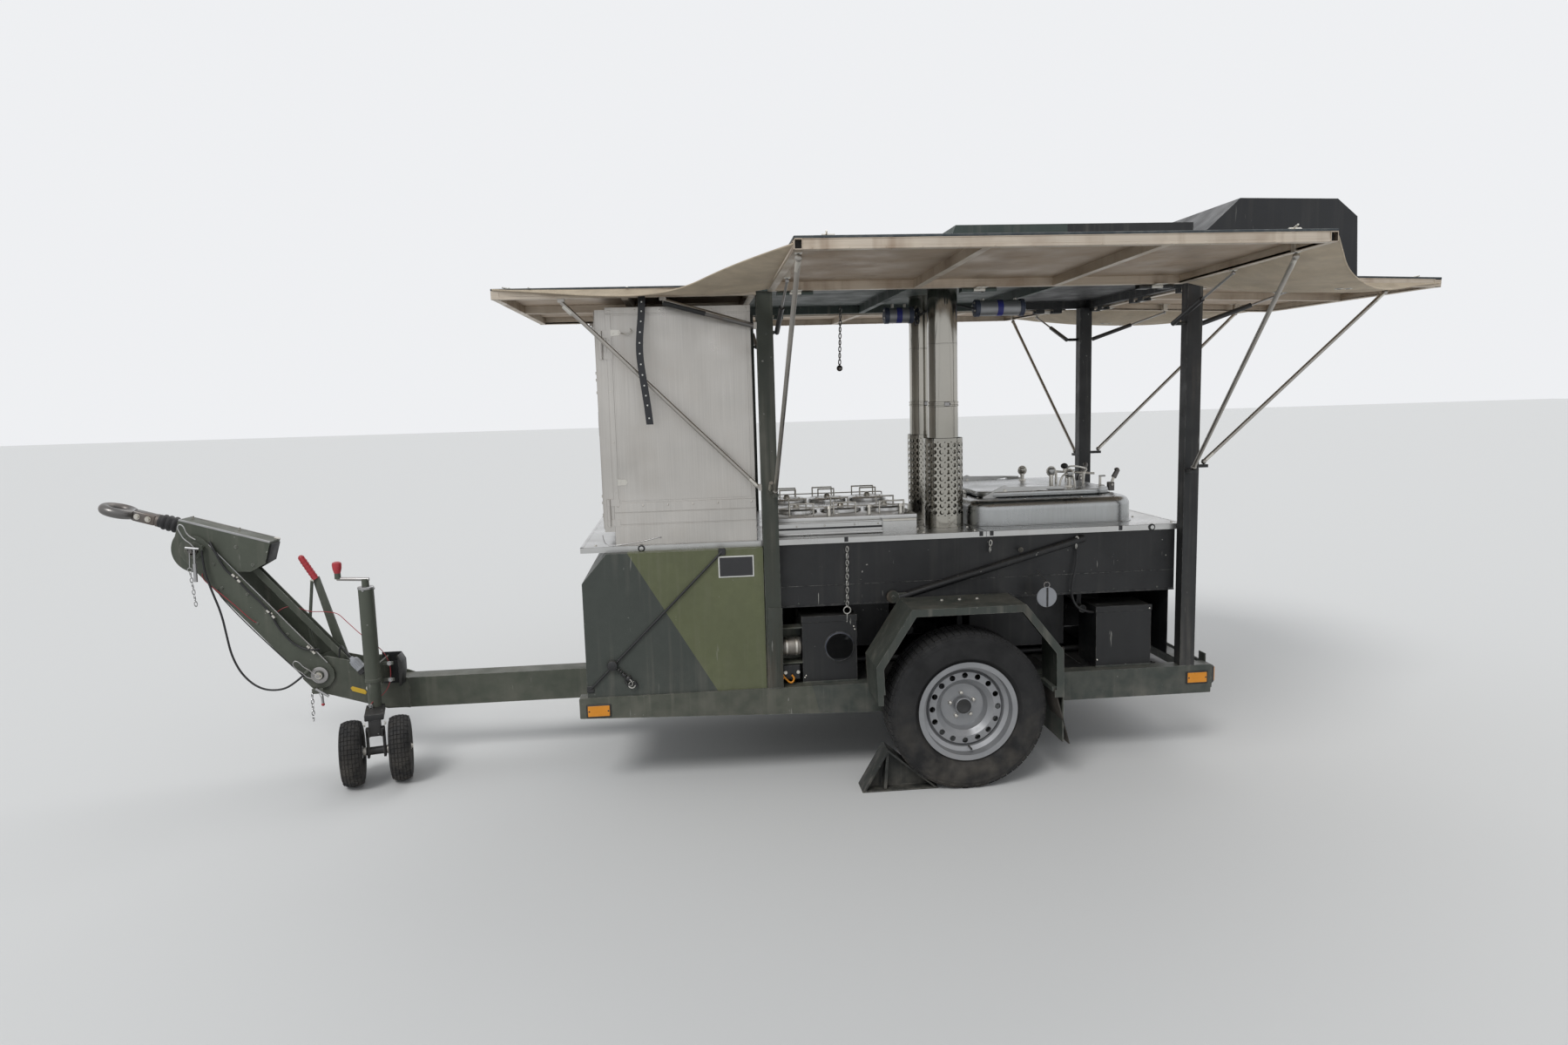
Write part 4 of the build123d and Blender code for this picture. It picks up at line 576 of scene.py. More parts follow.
def ball(bm, place, radius, index=0, stretch=(1, 1, 1)):
    part = bmesh.new()
    matrix = Matrix.Translation(place) @ Matrix.Diagonal((*stretch, 1))
    bmesh.ops.create_uvsphere(part, u_segments=18, v_segments=10, radius=radius / 1000, matrix=matrix)
    joined(bm, part, index)


def turned(bm, profile, origin, axis, index=0, steps=48, closed=False):
    """A profile of (along the axis, radius), in millimetres, spun round the axis."""
    part = bmesh.new()
    place = aimed(origin, axis)
    verts = [part.verts.new(place @ Vector((radius / 1000, 0, along / 1000))) for along, radius in profile]
    pairs = list(zip(verts, verts[1:])) + ([(verts[-1], verts[0])] if closed else [])
    edges = [part.edges.new(pair) for pair in pairs]
    bmesh.ops.spin(
        part, geom=verts + edges, cent=origin, axis=Vector(axis).normalized(), dvec=(0, 0, 0), angle=math.tau,
        steps=steps, use_merge=True, use_duplicate=False,
    )
    bmesh.ops.remove_doubles(part, verts=part.verts[:], dist=1e-6)
    bmesh.ops.recalc_face_normals(part, faces=part.faces[:])
    joined(bm, part, index)


def ring(bm, place, axis, radius, wire, index=0, steps=28, sides=8):
    """A round wire bent into a ring."""
    turns = (math.tau * k / sides for k in range(sides))
    profile = [(wire * math.sin(a), radius + wire * math.cos(a)) for a in turns]
    turned(bm, profile, place, axis, index, steps, closed=True)


def bolt(bm, place, direction, radius, index=0):
    """A hexagon head on its washer."""
    out = Vector(direction).normalized() * radius / 1000
    seat = Vector(place) + out * 0.22
    rod(bm, place, seat, radius * 1.35, index=index, sides=16)
    rod(bm, seat, Vector(place) + out * 0.95, radius, radius * 0.94, index, 6)


def rivet(bm, place, direction, radius, index=0):
    out = Vector(direction).normalized() * radius / 2000
    rod(bm, place, Vector(place) + out, radius, radius * 0.45, index, 10)


def extruded(bm, points, run, index=0, rounding=0.0):
    """A flat outline carried along a run."""
    part = bmesh.new()
    part.faces.new([part.verts.new(p) for p in points])
    made = bmesh.ops.extrude_face_region(part, geom=part.faces[:])
    bmesh.ops.translate(part, vec=run, verts=[g for g in made["geom"] if isinstance(g, bmesh.types.BMVert)])
    bmesh.ops.recalc_face_normals(part, faces=part.faces[:])
    rounded(part, rounding, 2)
    joined(bm, part, index)


def plate(bm, points, thickness, index=0):
    """A flat outline given its thickness along its own normal."""
    extruded(bm, points, normal(points) * thickness / 1000, index)


def prism(bm, points, y0, y1, index=0, rounding=0.0):
    """An outline of (X, Z) carried across from one Y to another, in millimetres from the axle."""
    extruded(bm, [at(x, y0, z) for x, z in points], Y * (y1 - y0) / 1000, index, rounding)


def outline(x0, x1, half, corner, z, inset=0.0):
    """The points of a rounded rectangle round the centreline, in millimetres from the axle."""
    points = []
    reach, side = corner - inset, half - corner
    for cx, cy, start in (
        (x1 - corner, side, 0), (x0 + corner, side, 90), (x0 + corner, -side, 180), (x1 - corner, -side, 270)
    ):
        for k in range(11):
            a = math.radians(start + k * 9.0)
            points.append(at(cx + reach * math.cos(a), cy + reach * math.sin(a), z))
    return points


def skinned(bm, outlines):
    """A skin through outlines of as many points each, closed at the last."""
    part = bmesh.new()
    loops = [[part.verts.new(p) for p in points] for points in outlines]
    for a, b in zip(loops, loops[1:]):
        for k in range(len(a)):
            part.faces.new((a[k - 1], a[k], b[k], b[k - 1]))
    part.faces.new(loops[-1])
    bmesh.ops.recalc_face_normals(part, faces=part.faces[:])
    joined(bm, part)


def chain(bm, start, end, link, wire, index=0):
    """A short-link chain: rings turned by turns between two points."""
    run = end - start
    count = max(2, round(run.length * 1000 / (link * 1.25)))
    for k in range(count):
        across = run.orthogonal().normalized()
        if k % 2:
            across = run.cross(across).normalized()
        part = bmesh.new()
        ring(part, (0, 0, 0), Z, link * 0.36, wire, 0, 12, 6)
        turn = Matrix((run.cross(across).normalized(), run.normalized(), across)).transposed().to_4x4()
        spot = Matrix.Translation(start + run * (k + 0.5) / count)
        joined(bm, placed(part, spot @ turn @ Matrix.Diagonal((0.8, 1.45, 1, 1))), index)


def shown(name, data, body, stands_for=()):
    """A mesh or curve made into an object that rides on a body."""
    obj = added(bpy.data.objects.new(name, data))
    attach(obj, body)
    if stands_for:
        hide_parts(*stands_for)
    return obj


def piece(name, bm, body, *finishes, slot=None, stands_for=(), angle=35.0):
    """A bmesh made into a piece. Edges sharper than the angle stay sharp."""
    mesh = bpy.data.meshes.new(name)
    bm.to_mesh(mesh)
    bm.free()
    mesh.shade_smooth()
    mesh.set_sharp_from_angle(angle=math.radians(angle))
    for made in finishes:
        mesh.materials.append(made)
    return shown(name, mesh, body, stands_for)


def routed(curve, route):
    """Adds a smooth line to a curve, along control points in millimetres from the axle."""
    spline = curve.splines.new("NURBS")
    spline.points.add(len(route) - 1)
    for point, place in zip(spline.points, route):
        point.co = (*at(*place), 1.0)
    spline.order_u = 3
    spline.use_endpoint_u = True


def wire(name, route, radius, body, made, slot=None):
    """A smooth bent wire or cable."""
    curve = bpy.data.curves.new(name, "CURVE")
    curve.dimensions = "3D"
    curve.bevel_depth = radius / 1000
    curve.bevel_resolution = 3
    curve.resolution_u = 8
    curve.use_fill_caps = True
    routed(curve, route)
    curve.materials.append(made)
    return shown(name, curve, body)


def wires(name, routes, *details):
    """Several bent wires in one piece."""
    obj = wire(name, routes[0], *details)
    for route in routes[1:]:
        routed(obj.data, route)
    return obj


def line_through(obj):
    """The points along a curve's middle. The curve is removed."""
    obj.data.bevel_depth = 0.0
    points = [v.co.copy() for v in bpy.data.meshes.new_from_object(obj).vertices]
    bpy.data.objects.remove(obj)
    return points


# Wheels

WHEEL_Z = 352  # height of the road wheels' centre
# Half of the tyre's section: from its middle plane, radius
ROAD_WALL = (
    (76, 203.3), (77.5, 224), (81, 229), (92, 237), (95, 240), (97, 239), (98, 243), (100, 255), (102, 272),
    (102.3, 290), (101, 306), (99, 316), (99.5, 319), (98, 322), (95, 331), (88, 340)
)
RIBS = (-82, -54, -48, -22, -16, 16, 22, 48, 54, 82)
JOCKEY_WALL = ((27, 70.5), (39, 80), (45, 88), (48, 98), (49.5, 112), (47.5, 126), (43, 137))


def tyre(bm, origin, axis, wall, crown, steps, block, tread):
    """A tyre spun from half its wall and its crown, with blocks raised where tread says so."""
    profile = [(-a, r) for a, r in wall] + list(crown) + [(a, r) for a, r in reversed(wall)]
    turned(bm, profile, origin, axis, 0, steps, closed=True)
    axis = Vector(axis).normalized()
    side = axis.orthogonal().normalized()
    up = axis.cross(side)
    groups = {}
    for face in bm.faces:
        arm = face.calc_center_median() - origin
        along = arm.dot(axis) * 1000
        radius = (arm - axis * arm.dot(axis)).length * 1000
        turn = int(math.atan2(arm.dot(up), arm.dot(side)) / math.tau * steps + steps + 1e-6)
        high = tread(along, radius, turn)
        if high:
            groups.setdefault(high, []).append(face)
    for high, faces in groups.items():
        bmesh.ops.inset_individual(
            bm, faces=faces, thickness=block / 1000, depth=high / 1000, use_even_offset=True
        )


def road_tread(along, radius, turn):
    if radius > 341:
        return 8.0 if any(low < along < high for low, high in zip(RIBS[::2], RIBS[1::2])) else 0
    return 3.0 if radius > 333 and turn % 2 else 0


def jockey_tread(along, radius, turn):
    return (4.5 if (turn + round(along / 16)) % 2 else 2.6) if radius > 138 else 0


for name, side in SIDES:
    body = "road_wheel_" + name
    hub = at(0, side * 800, WHEEL_Z)
    bm = bmesh.new()
    tyre(bm, hub, Y, ROAD_WALL, [(x, 343.9 - abs(x) * 0.018) for x in RIBS], 72, 2.2, road_tread)
    piece("road_tyre_" + name, bm, body, tyre_rubber, slot="tyre", stands_for=["tyre_" + name], angle=28)
    bm = bmesh.new()
    out = Y * side
    for k in range(5):
        turn = math.tau * (k + 0.32) / 5
        foot = at(56 * math.cos(turn), side * 774, WHEEL_Z + 56 * math.sin(turn))
        rod(bm, foot, foot + out * 0.006, 13.5, 11.5, 0, 20)
        rod(bm, foot + out * 0.006, foot + out * 0.019, 9.5, 8.8, 0, 6)
        ball(bm, foot + out * 0.019, 8.2, 0, (1, 0.45, 1))
    turned(bm, [(806, 37.5), (812.5, 36.8), (813.5, 34), (810.5, 33)], at(0, 0, WHEEL_Z), out, 1, 40)
    turned(
        bm, [(810, 33.5), (812.2, 32), (812.8, 23), (811, 20), (811.2, 0.2)], at(0, 0, WHEEL_Z), out, 2, 40
    )
    valve = at(14, side * 838, WHEEL_Z - 173)
    rod(bm, valve, valve + out * 0.034, 4.2, 3.6, 2, 14)
    rod(bm, valve + out * 0.030, valve + out * 0.044, 5, 4.6, 2, 14)
    piece("wheel_fittings_" + name, bm, body, zinc, silver, plastic_black, slot="silver_paint")

YAW = math.radians(13.5)  # how far the jockey fork is turned as photographed
JOCKEY_X, JOCKEY_Y = -2701, -240  # the jockey leg's middle
WHEELS_BACK, WHEELS_Z = -115, 152.5  # the jockey wheels' centre, across the fork and up
FORK_ALONG = Vector((math.cos(YAW), math.sin(YAW), 0))
FORK_ACROSS = Z.cross(FORK_ALONG)


def jockey(along, across, z):
    """A point in the jockey fork's own frame, in millimetres."""
    return at(JOCKEY_X, JOCKEY_Y, z) + (FORK_ALONG * along + FORK_ACROSS * across) / 1000


bm = bmesh.new()
for side in (-1, 1):
    small = bmesh.new()
    tyre(
        small, jockey(side * 105, WHEELS_BACK, WHEELS_Z), FORK_ALONG, JOCKEY_WALL,
        [(x, 147.6 - abs(x / 36) ** 3 * 7) for x in (-36, -22, -8, 8, 22, 36)], 44, 1.6, jockey_tread,
    )
    joined(bm, small)
piece(
    "jockey_tyre_pair", bm, "jockey_wheels", tyre_rubber, slot="tyre", stands_for=["jockey_tyres"], angle=28
)
bm = bmesh.new()
for side in (-1, 1):
    face = jockey(side * 134, WHEELS_BACK, WHEELS_Z)
    out = FORK_ALONG * side
    for k in range(4):
        turn = math.tau * (k + 0.5) / 4
        bolt(bm, face + (FORK_ACROSS * math.cos(turn) + Z * math.sin(turn)) * 0.050, out, 6.5)
    ring(bm, face, out, 64, 3, 1, 36)
    bolt(bm, jockey(side * 148.5, WHEELS_BACK, WHEELS_Z), out, 11)
    rod(bm, jockey(side * 46, WHEELS_BACK, WHEELS_Z), jockey(side * 60, WHEELS_BACK, WHEELS_Z), 21)
piece("jockey_hub_fittings", bm, "jockey_wheels", zinc, black_paint, slot="silver_paint")

# Flues: polished pipes with clamped joints, each in a guard punched with round holes

def punched(bm, place, across, up, columns, rows, radius, sides=16):
    """A sheet of cells with one round hole each. place turns (column, row) into a point."""
    for column in range(columns):
        for row in range(rows):
            inner, outer = [], []
            for k in range(sides):
                a = math.tau * (k + 0.5) / sides
                c, s = math.cos(a), math.sin(a)
                reach = 0.5 / max(abs(c), abs(s))
                inner.append(
                    bm.verts.new(place(column + 0.5 + c * radius / across, row + 0.5 + s * radius / up))
                )
                outer.append(bm.verts.new(place(column + 0.5 + c * reach, row + 0.5 + s * reach)))
            for k in range(sides):
                n = (k + 1) % sides
                bm.faces.new((inner[k], outer[k], outer[n], inner[n]))
    bmesh.ops.remove_doubles(bm, verts=bm.verts[:], dist=2e-5)


LOW, HIGH, ROWS = 1156.7, 1506.5, 11  # of the guard's holes
FLUES = ((40, -330, 92, 18), (60, 150, 84, 16))  # X, Y, radius of the guard, holes round it
PIPE = (
    (1107.5, 71.2), (1670, 71.2), (1671.5, 73.5), (1678, 73.8), (1679.5, 71.8), (1685, 71.6), (1686, 73.6),
    (1692.5, 73.6), (1694, 70), (1960, 70), (1961, 70.6), (1964, 70.6), (1965, 69.8), (2229, 69.8),
    (2229, 66.5), (1100.2, 66.5),
)
pipes = bmesh.new()
for x, y, guard, holes in FLUES:
    foot = at(x, y, 0)
    bm = bmesh.new()

    def wrapped(column, row):
        a = math.tau * column / holes
        return foot + mm(math.cos(a) * guard, math.sin(a) * guard, LOW + (HIGH - LOW) * row / ROWS)

    punched(bm, wrapped, math.tau * guard / holes, 31.8, holes, ROWS, 10.6)
    bmesh.ops.recalc_face_normals(bm, faces=bm.faces[:])
    bmesh.ops.solidify(bm, geom=bm.faces[:], thickness=0.0016)
    inner = guard - 1.6
    base = [
        (1100.6, guard - 2), (1100.6, guard + 6), (1102.4, guard + 6), (1103.4, guard), (LOW, guard),
        (LOW, inner)
    ]
    turned(bm, base + [(1103.4, inner)], foot, Z, 0, 60, closed=True)
    rim = [
        (HIGH, inner), (HIGH, guard), (HIGH + 14, guard), (HIGH + 16, guard + 0.6), (HIGH + 16, guard - 1.8)
    ]
    turned(bm, rim, foot, Z, 0, 60, closed=True)
    slab(bm, foot + mm(-4, -guard - 1.2, 1104), foot + mm(10, 0.6 - guard, 1156), 0.5)
    for z in (1114, 1130, 1147):
        rivet(bm, foot + mm(3, -guard - 1, z), -Y, 3.8)
    piece(
        "flue_guard_left" if y < 0 else "flue_guard_right", bm, "trailer", flue_steel, slot="flue_steel",
        angle=25
    )
    collar = 88 if y < 0 else 80
    turned(pipes, [(1100.2, collar), (1106, collar - 2), *PIPE], foot, Z, 0, 64, closed=True)
    slab(pipes, foot + mm(-12, -79, 1672), foot + mm(14, -72.5, 1692), 2, 1)
    bolt(pipes, foot + mm(14, -75.5, 1682), X, 4.5, 1)
    for k in range(6):
        a = math.tau * (k + 0.3) / 6
        arm = Vector((math.cos(a), math.sin(a), 0))
        strut = foot + Z * 1.508
        rod(pipes, strut + arm * 0.070, strut + arm * (guard - 1) / 1000, 3.5, None, 1, 8)
piece(
    "flue_pipes", pipes, "trailer", flue_steel, bare_steel, slot="flue_steel", stands_for=["flues"], angle=25
)

# Roof flaps: folded edge frames round a double skin, with rafters, hinge leaves and latches

RISE, DROP = math.radians(1.2), math.radians(1.75)  # slopes of the side flaps and of the rear flap
SIDE_X, HINGE_Z = 112, 2175  # the side flaps' middle, and the hinges' height


def hinge_frame(x, y, z, level, slope):
    """A frame at a hinge: outwards along the flap, along the hinge, and up."""
    out = (level * math.cos(slope) + Z * math.sin(slope)).normalized()
    up = (Z * math.cos(slope) - level * math.sin(slope)).normalized()
    return Matrix.Translation(at(x, y, z)) @ Matrix((out, up.cross(out), up)).transposed().to_4x4()


LEFT_HINGE, RIGHT_HINGE = (hinge_frame(SIDE_X, side * 690, HINGE_Z, Y * side, RISE) for side in (-1, 1))
REAR_HINGE = hinge_frame(1175, 0, HINGE_Z, X, -DROP)
FRONT_HINGE = hinge_frame(-862.3, 0, 2160, -X, 0)
REAR_REACH = (2270 - 1175 - 52 * math.sin(DROP)) / math.cos(DROP)


def flap(name, body, frame_matrix, reach, half, rafters, cross, lugs, hinges, stands_for):
    """One flap in its hinge's frame (out, along, up), in millimetres."""
    bm = bmesh.new()

    def box(a0, a1, b0, b1, c0, c1, index, rounding=0.0):
        slab(bm, mm(a0, b0, c0), mm(a1, b1, c1), rounding, index)

    box(0, reach, -half, half, 48.5, 52, 0, 1.2)
    box(reach - 3, reach, -half, half, 44, 50, 0, 0.8)
    for side in (-1, 1):
        box(0, reach, side * half, side * (half - 3), 44, 50, 0, 0.8)
    stops = [-half + 30, *sorted(rafters), half - 30]
    for near, far in zip(stops, stops[1:]):
        box(4, reach - 28, near, far, 43.5, 48, 1)
        box(6, reach - 30, near - 0.8, near + 0.8, 42.6, 44, 2)
    for a0, a1, low, high, rounding in (
        (reach - 30, reach - 1.6, 8, 19, 1.6), (reach - 30, reach - 0.8, 40, 44, 1.2),
        (reach - 5.5, reach - 3, 18, 41, 0), (reach - 30, reach - 27, 10, 42, 0.6), (0, 30, 8, 12, 1.2),
        (0, 3, 10, 42, 0), (27, 30, 10, 44, 0.6),
    ):
        box(a0, a1, 26 - half, half - 26, low, high, 2, rounding)
    for side in (-1, 1):
        for b0, b1, low, high in ((30, 0.3, 8, 19), (5, 3, 18, 44), (30, 27, 10, 44), (8, 0.8, 40, 44)):
            box(30, reach - 30, side * (half - b0), side * (half - b1), low, high, 2, 0.8)
        for a0, a1 in ((reach - 34, reach - 0.2), (0, 34)):
            for b0, b1, low, high in ((1, 3.5, 8, 44), (26, 29, 8, 44), (1, 29, 8, 11), (1, 29, 40, 44)):
                box(a0, a1, side * (half - b0), side * (half - b1), low, high, 2, 0.6)
        box(reach - 24, reach - 22, side * (half - 3), side * (half - 27), 10, 41, 4)
    for place in rafters:
        box(30, reach - 30, place - 15, place + 15, 8, 10.5, 2, 0.8)
        for side in (-1, 1):
            box(30, reach - 30, place + side * 15, place + side * 12.5, 9, 44, 2, 0.6)
    if cross:
        box(cross - 15, cross + 15, -half + 30, half - 30, 8, 10.5, 2, 0.8)
        for side in (-1, 1):
            box(cross + side * 15, cross + side * 12.5, -half + 30, half - 30, 9, 44, 2, 0.6)
    for out, along, below in lugs:
        box(out - 13, out + 13, along - 13, along + 13, below, 46, 3, 1.5)
        for dx in (-26, 26):
            box(out + dx - 11, out + dx + 11, along - 11, along + 11, 42, 44, 3, 0.6)
            rivet(bm, mm(out + dx, along, 42), -Z, 4, 3)
    for place in hinges:
        rod(bm, mm(0, place - 25, 0), mm(0, place + 25, 0), 8, None, 3)
        box(0, 60, place - 25, place + 25, 4, 8, 3, 0.8)
        for out in (24, 46):
            bolt(bm, mm(out, place, 4), -Z, 5, 3)
    step = 120
    for k in range(int((2 * half - 60) // step)):
        place = -half + 60 + k * step
        rivet(bm, mm(reach - 1.6, place, 13), X, 2.8, 2)
        rivet(bm, mm(reach - 15, place + 20, 8), -Z, 3.4, 2)
    for k in range(int((reach - 60) // step)):
        for side in (-1, 1):
            rivet(bm, mm(60 + k * step, side * (half - 15), 8), -Z, 3.4, 2)
    for k in range(2 if reach > 1000 else 1):
        for side in (-1, 1):
            spot = mm(reach - 60 - k * (reach - 260), side * (half - 120), 52)
            box(reach - 84, reach - 30, side * (half - 150), side * (half - 90), 52, 54.5, 3, 0.8)
            rod(bm, spot + mm(0, -22, 10), spot + mm(0, 22, 10), 4.8, None, 3, 12)
            slab(bm, spot + mm(-12, -16, 2), spot + mm(20, 16, 8), 2, 3)
            rod(bm, spot + mm(4, -6, 12), spot + mm(34, -10, 19), 3.4, 3, 3, 10)
    return piece(
        name, placed(bm, frame_matrix), body, flap_line, aluminium, frame_alloy, zinc, black_rubber,
        slot="flap_sheet", stands_for=stands_for
    )


STAY_LUG, EYE_LUG = 4.3, 3.3
for name, side, matrix in (("left", -1, LEFT_HINGE), ("right", 1, RIGHT_HINGE)):
    spots = [(1010, -790, STAY_LUG), (870, 1010, STAY_LUG), (440, -770, EYE_LUG), (440, 1020, EYE_LUG)]
    flap(
        "side_flap_" + name + "_panel", "side_flap_" + name, matrix, 1070, 923,
        [-side * (x - SIDE_X) for x in (-170, 445)], None,
        [(out, -side * (x - SIDE_X), low) for out, x, low in spots], [-side * x for x in (-803, 0, 803)],
        ["flap_" + name],
    )
flap(
    "rear_flap_panel", "rear_flap", REAR_HINGE, REAR_REACH, 680, [0.0], None,
    [
        (REAR_REACH - 214, -600, STAY_LUG), (REAR_REACH - 254, 600, STAY_LUG), (420, -620, EYE_LUG),
        (420, 620, EYE_LUG)
    ],
    [-500, 0, 500], ["flap_rear"],
)
flap("front_flap_panel", "trailer", FRONT_HINGE, 1094.7, 720, [0.0], 552, [], [], ["front_flap"])

# Canvases that close the corners between the flaps: each is drawn between its sewn edges and its free edge

def along_line(points, t):
    """The point at a share of a line's length."""
    runs = [(b - a).length for a, b in zip(points, points[1:])]
    rest = t * sum(runs)
    for a, b, run in zip(points, points[1:], runs):
        if rest <= run or b is points[-1]:
            return a.lerp(b, min(1.0, rest / run))
        rest -= run


def smooth_line(points, count):
    """Points along a quadratic spline through a control polygon."""
    made = []
    for k in range(count + 1):
        t = k / count * (len(points) - 2)
        i = min(int(t), len(points) - 3)
        f = t - i
        a, b, c = points[i:i + 3]
        start = a if i == 0 else (a + b) / 2
        end = c if i == len(points) - 3 else (b + c) / 2
        made.append(start * (1 - f) ** 2 + b * 2 * f * (1 - f) + end * f ** 2)
    return made


def web(bm, sewn, free, first, last, sag):
    """A sheet from its sewn edge to its free edge, with sag, tension folds, thickness and a turned hem."""
    rows, columns = 14, 36
    free = smooth_line(free, columns)
    grid = []
    for i in range(columns + 1):
        u = i / columns
        if not first <= u <= last:
            continue
        held, line = along_line(sewn, u), []
        for j in range(rows + 1):
            v = j / rows
            point = held.lerp(free[i], v)
            point.z -= sag * math.sin(math.pi * v ** 0.8) * math.sin(math.pi * u)
            point.z += 0.004 * math.sin(u * 34.0) * math.sin(math.pi * v) * (1 - abs(2 * u - 1) ** 3)
            line.append(point)
        grid.append(line)
    lines = [[bm.verts.new(point) for point in line] for line in grid]
    for a, b in zip(lines, lines[1:]):
        for corners in zip(a, b, b[1:], a[1:]):
            bm.faces.new(corners)
    bmesh.ops.remove_doubles(bm, verts=bm.verts[:], dist=1e-5)
    bmesh.ops.recalc_face_normals(bm, faces=bm.faces[:])
    bmesh.ops.solidify(bm, geom=bm.faces[:], thickness=0.0016)
    for a, b in zip(grid, grid[1:]):
        if (b[-1] - a[-1]).length > 1e-4:
            rod(bm, a[-1], b[-1], 3.4, None, 1, 6)
    return grid


def mirrored(points, side):
    return [at(x, side * y, z) for x, y, z in points]


FRONT_SEWN = ((-812, 1752, 2224), (-812, 722, 2192), (-1950, 722, 2208))
FRONT_FREE = (
    (-812, 1752, 2224), (-905, 1420, 2232), (-1030, 1130, 2218), (-1165, 905, 2180), (-1330, 815, 2164),
    (-1540, 785, 2170), (-1750, 755, 2192), (-1950, 722, 2208),
)
REAR_SEWN = ((1037, 1752, 2224), (1037, 690, 2190), (2262, 684, 2168))
REAR_FREE = (
    (1037, 1752, 2224), (1150, 1610, 2196), (1300, 1420, 2158), (1500, 1210, 2128), (1730, 1010, 2112),
    (1960, 830, 2132), (2140, 720, 2160), (2262, 684, 2168),
)
for name, side in SIDES:
    bm = bmesh.new()
    web(bm, mirrored(FRONT_SEWN, side), mirrored(FRONT_FREE, side), 0.0, 1.0, 0.012)
    for x, y, z in (
        (-822, 1600, 2226), (-822, 1240, 2215), (-822, 900, 2204), (-1000, 728, 2200), (-1400, 728, 2204),
        (-1800, 728, 2208)
    ):
        rivet(bm, at(x, side * y, z + 4), Z, 6, 2)
    sheet = piece(
        "front_canvas_" + name, bm, "trailer", cloth, cloth, zinc, slot="canvas", stands_for=["canvas_front"],
        angle=50
    )
    sheet.parent = None
    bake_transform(sheet)
    for half, first, body, joint, axis, anchor, edge, inward, flat, panel, area in (
        (
            "side", 0.0, "side_flap_" + name, "side_flap_hinge_" + name, X, at(1037, side * 700, 2190), -1,
            -20, (0.92, 1.07), "side_flap_" + name + "_panel", 0.33,
        ),
        (
            "back", 0.5, "rear_flap", "rear_flap_hinge", Y, at(1300, side * 684, 2190), 0, 20, (0.80, 1.23),
            "rear_flap_panel", 0.34,
        ),
    ):
        bm = bmesh.new()
        grid = web(bm, mirrored(REAR_SEWN, side), mirrored(REAR_FREE, side), first, first + 0.5, 0.030)
        for row in (7, 12):
            spot = grid[edge][row] + mm(inward, 0, -0.6)
            rod(bm, spot, spot - Z * 0.0022, 17, 15, 2, 24)
            rod(bm, spot - Z * 0.002, spot - Z * 0.0032, 7.5, None, 3, 14)
        sheet = piece(
            f"rear_canvas_{name}_{half}", bm, body, cloth, cloth, zinc, plastic_black, slot="canvas",
            stands_for=["canvas_rear"], angle=50,
        )
        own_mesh(sheet)

# Oven: panels, riveted bands, corner strips, hinge plates and door furniture

LUG = ((-1486, -14), (-1486, 14), (-1450, 12), (-1442, 0), (-1450, -12))
bm = bmesh.new()
for side in (-1, 1):
    y = side * 580

    def strip(x0, x1, z0, z1, thick, rounding=1.0):
        lo, hi = sorted((y - side * 0.5, y + side * thick))
        slab(bm, at(x0, lo, z0), at(x1, hi, z1), rounding)

    for row in (
        (-1507, -880, 2112, 2140, 2.4), (-1507, -880, 1250, 1292, 2.6), (-1507, -880, 1196, 1247, 1.6),
        (-1507, -880, 1103, 1192, 1.2), (-1507, -1484, 1292, 2112, 2.0), (-892, -880, 1292, 2112, 2.0),
        (-1478, -898, 1300, 2106, 1.0, 0.6),
    ):
        strip(*row)
    for x in (-1490, -1380, -1270, -1160, -1050, -900):
        rivet(bm, at(x, y + side * 2.6, 1278), Y * side, 4.2, 1)
        rivet(bm, at(x, y + side * 2.4, 2126), Y * side, 3.6, 1)
    for z in (1340, 1560, 1780, 2000):
        rivet(bm, at(-1495, y + side * 2.0, z), Y * side, 3, 1)
    for z in (1384, 2032):
        plate(bm, [at(x, y + side * 3.0, z + dz) for x, dz in LUG][::side], 2, 1)
        for x in (-1476, -1454):
            bolt(bm, at(x, y + side * 5.0, z), Y * side, 4.5, 1)
slabs(bm, (-882, -578, 1103, -879, 578, 1250, 1), (-882, -578, 2100, -879, 578, 2138, 1))
for y in (-390, 0, 390):
    slab(bm, at(-881, y - 3, 1250), at(-878.6, y + 3, 2100), 0.8)
for y in range(-540, 541, 120):
    rivet(bm, at(-879, y, 1236), X, 4, 1)
    rivet(bm, at(-879, y, 2118), X, 4, 1)
for x in (-1420, -1190, -960):
    rod(bm, at(x, -60, 2139), at(x, -60, 2150), 16, 13, 1, 18)
slab(bm, at(-1500, -560, 1100), at(-1470, 560, 1186), 4)
for y in (-300, 0, 300):
    slab(bm, at(-1512, y - 60, 1120), at(-1506, y + 60, 1160), 2, 1)
for z in range(1290, 1951, 110):
    for side in (-1, 1):
        slab(bm, at(-1480, side * 540, z), at(-930, side * 518, z + 3), 0.8, 1)
piece("oven_trim", bm, "trailer", oven_steel, zinc, slot="oven_steel")
HOOK = (
    (-1440, -584, 2030), (-1425, -600, 2024), (-1400, -606, 2026), (-1392, -604, 2040), (-1402, -600, 2046)
)
wire("oven_wire_hook", HOOK, 2.4, "trailer", zinc)
STAY = (
    (-1565, -560, 1150), (-1562, -566, 1118), (-1540, -572, 1104), (-1480, -586, 1106), (-1380, -588, 1120),
    (-1310, -586, 1136), (-1306, -584, 1132),
)
wire("oven_wire_stay", STAY, 2.2, "trailer", bare_steel)
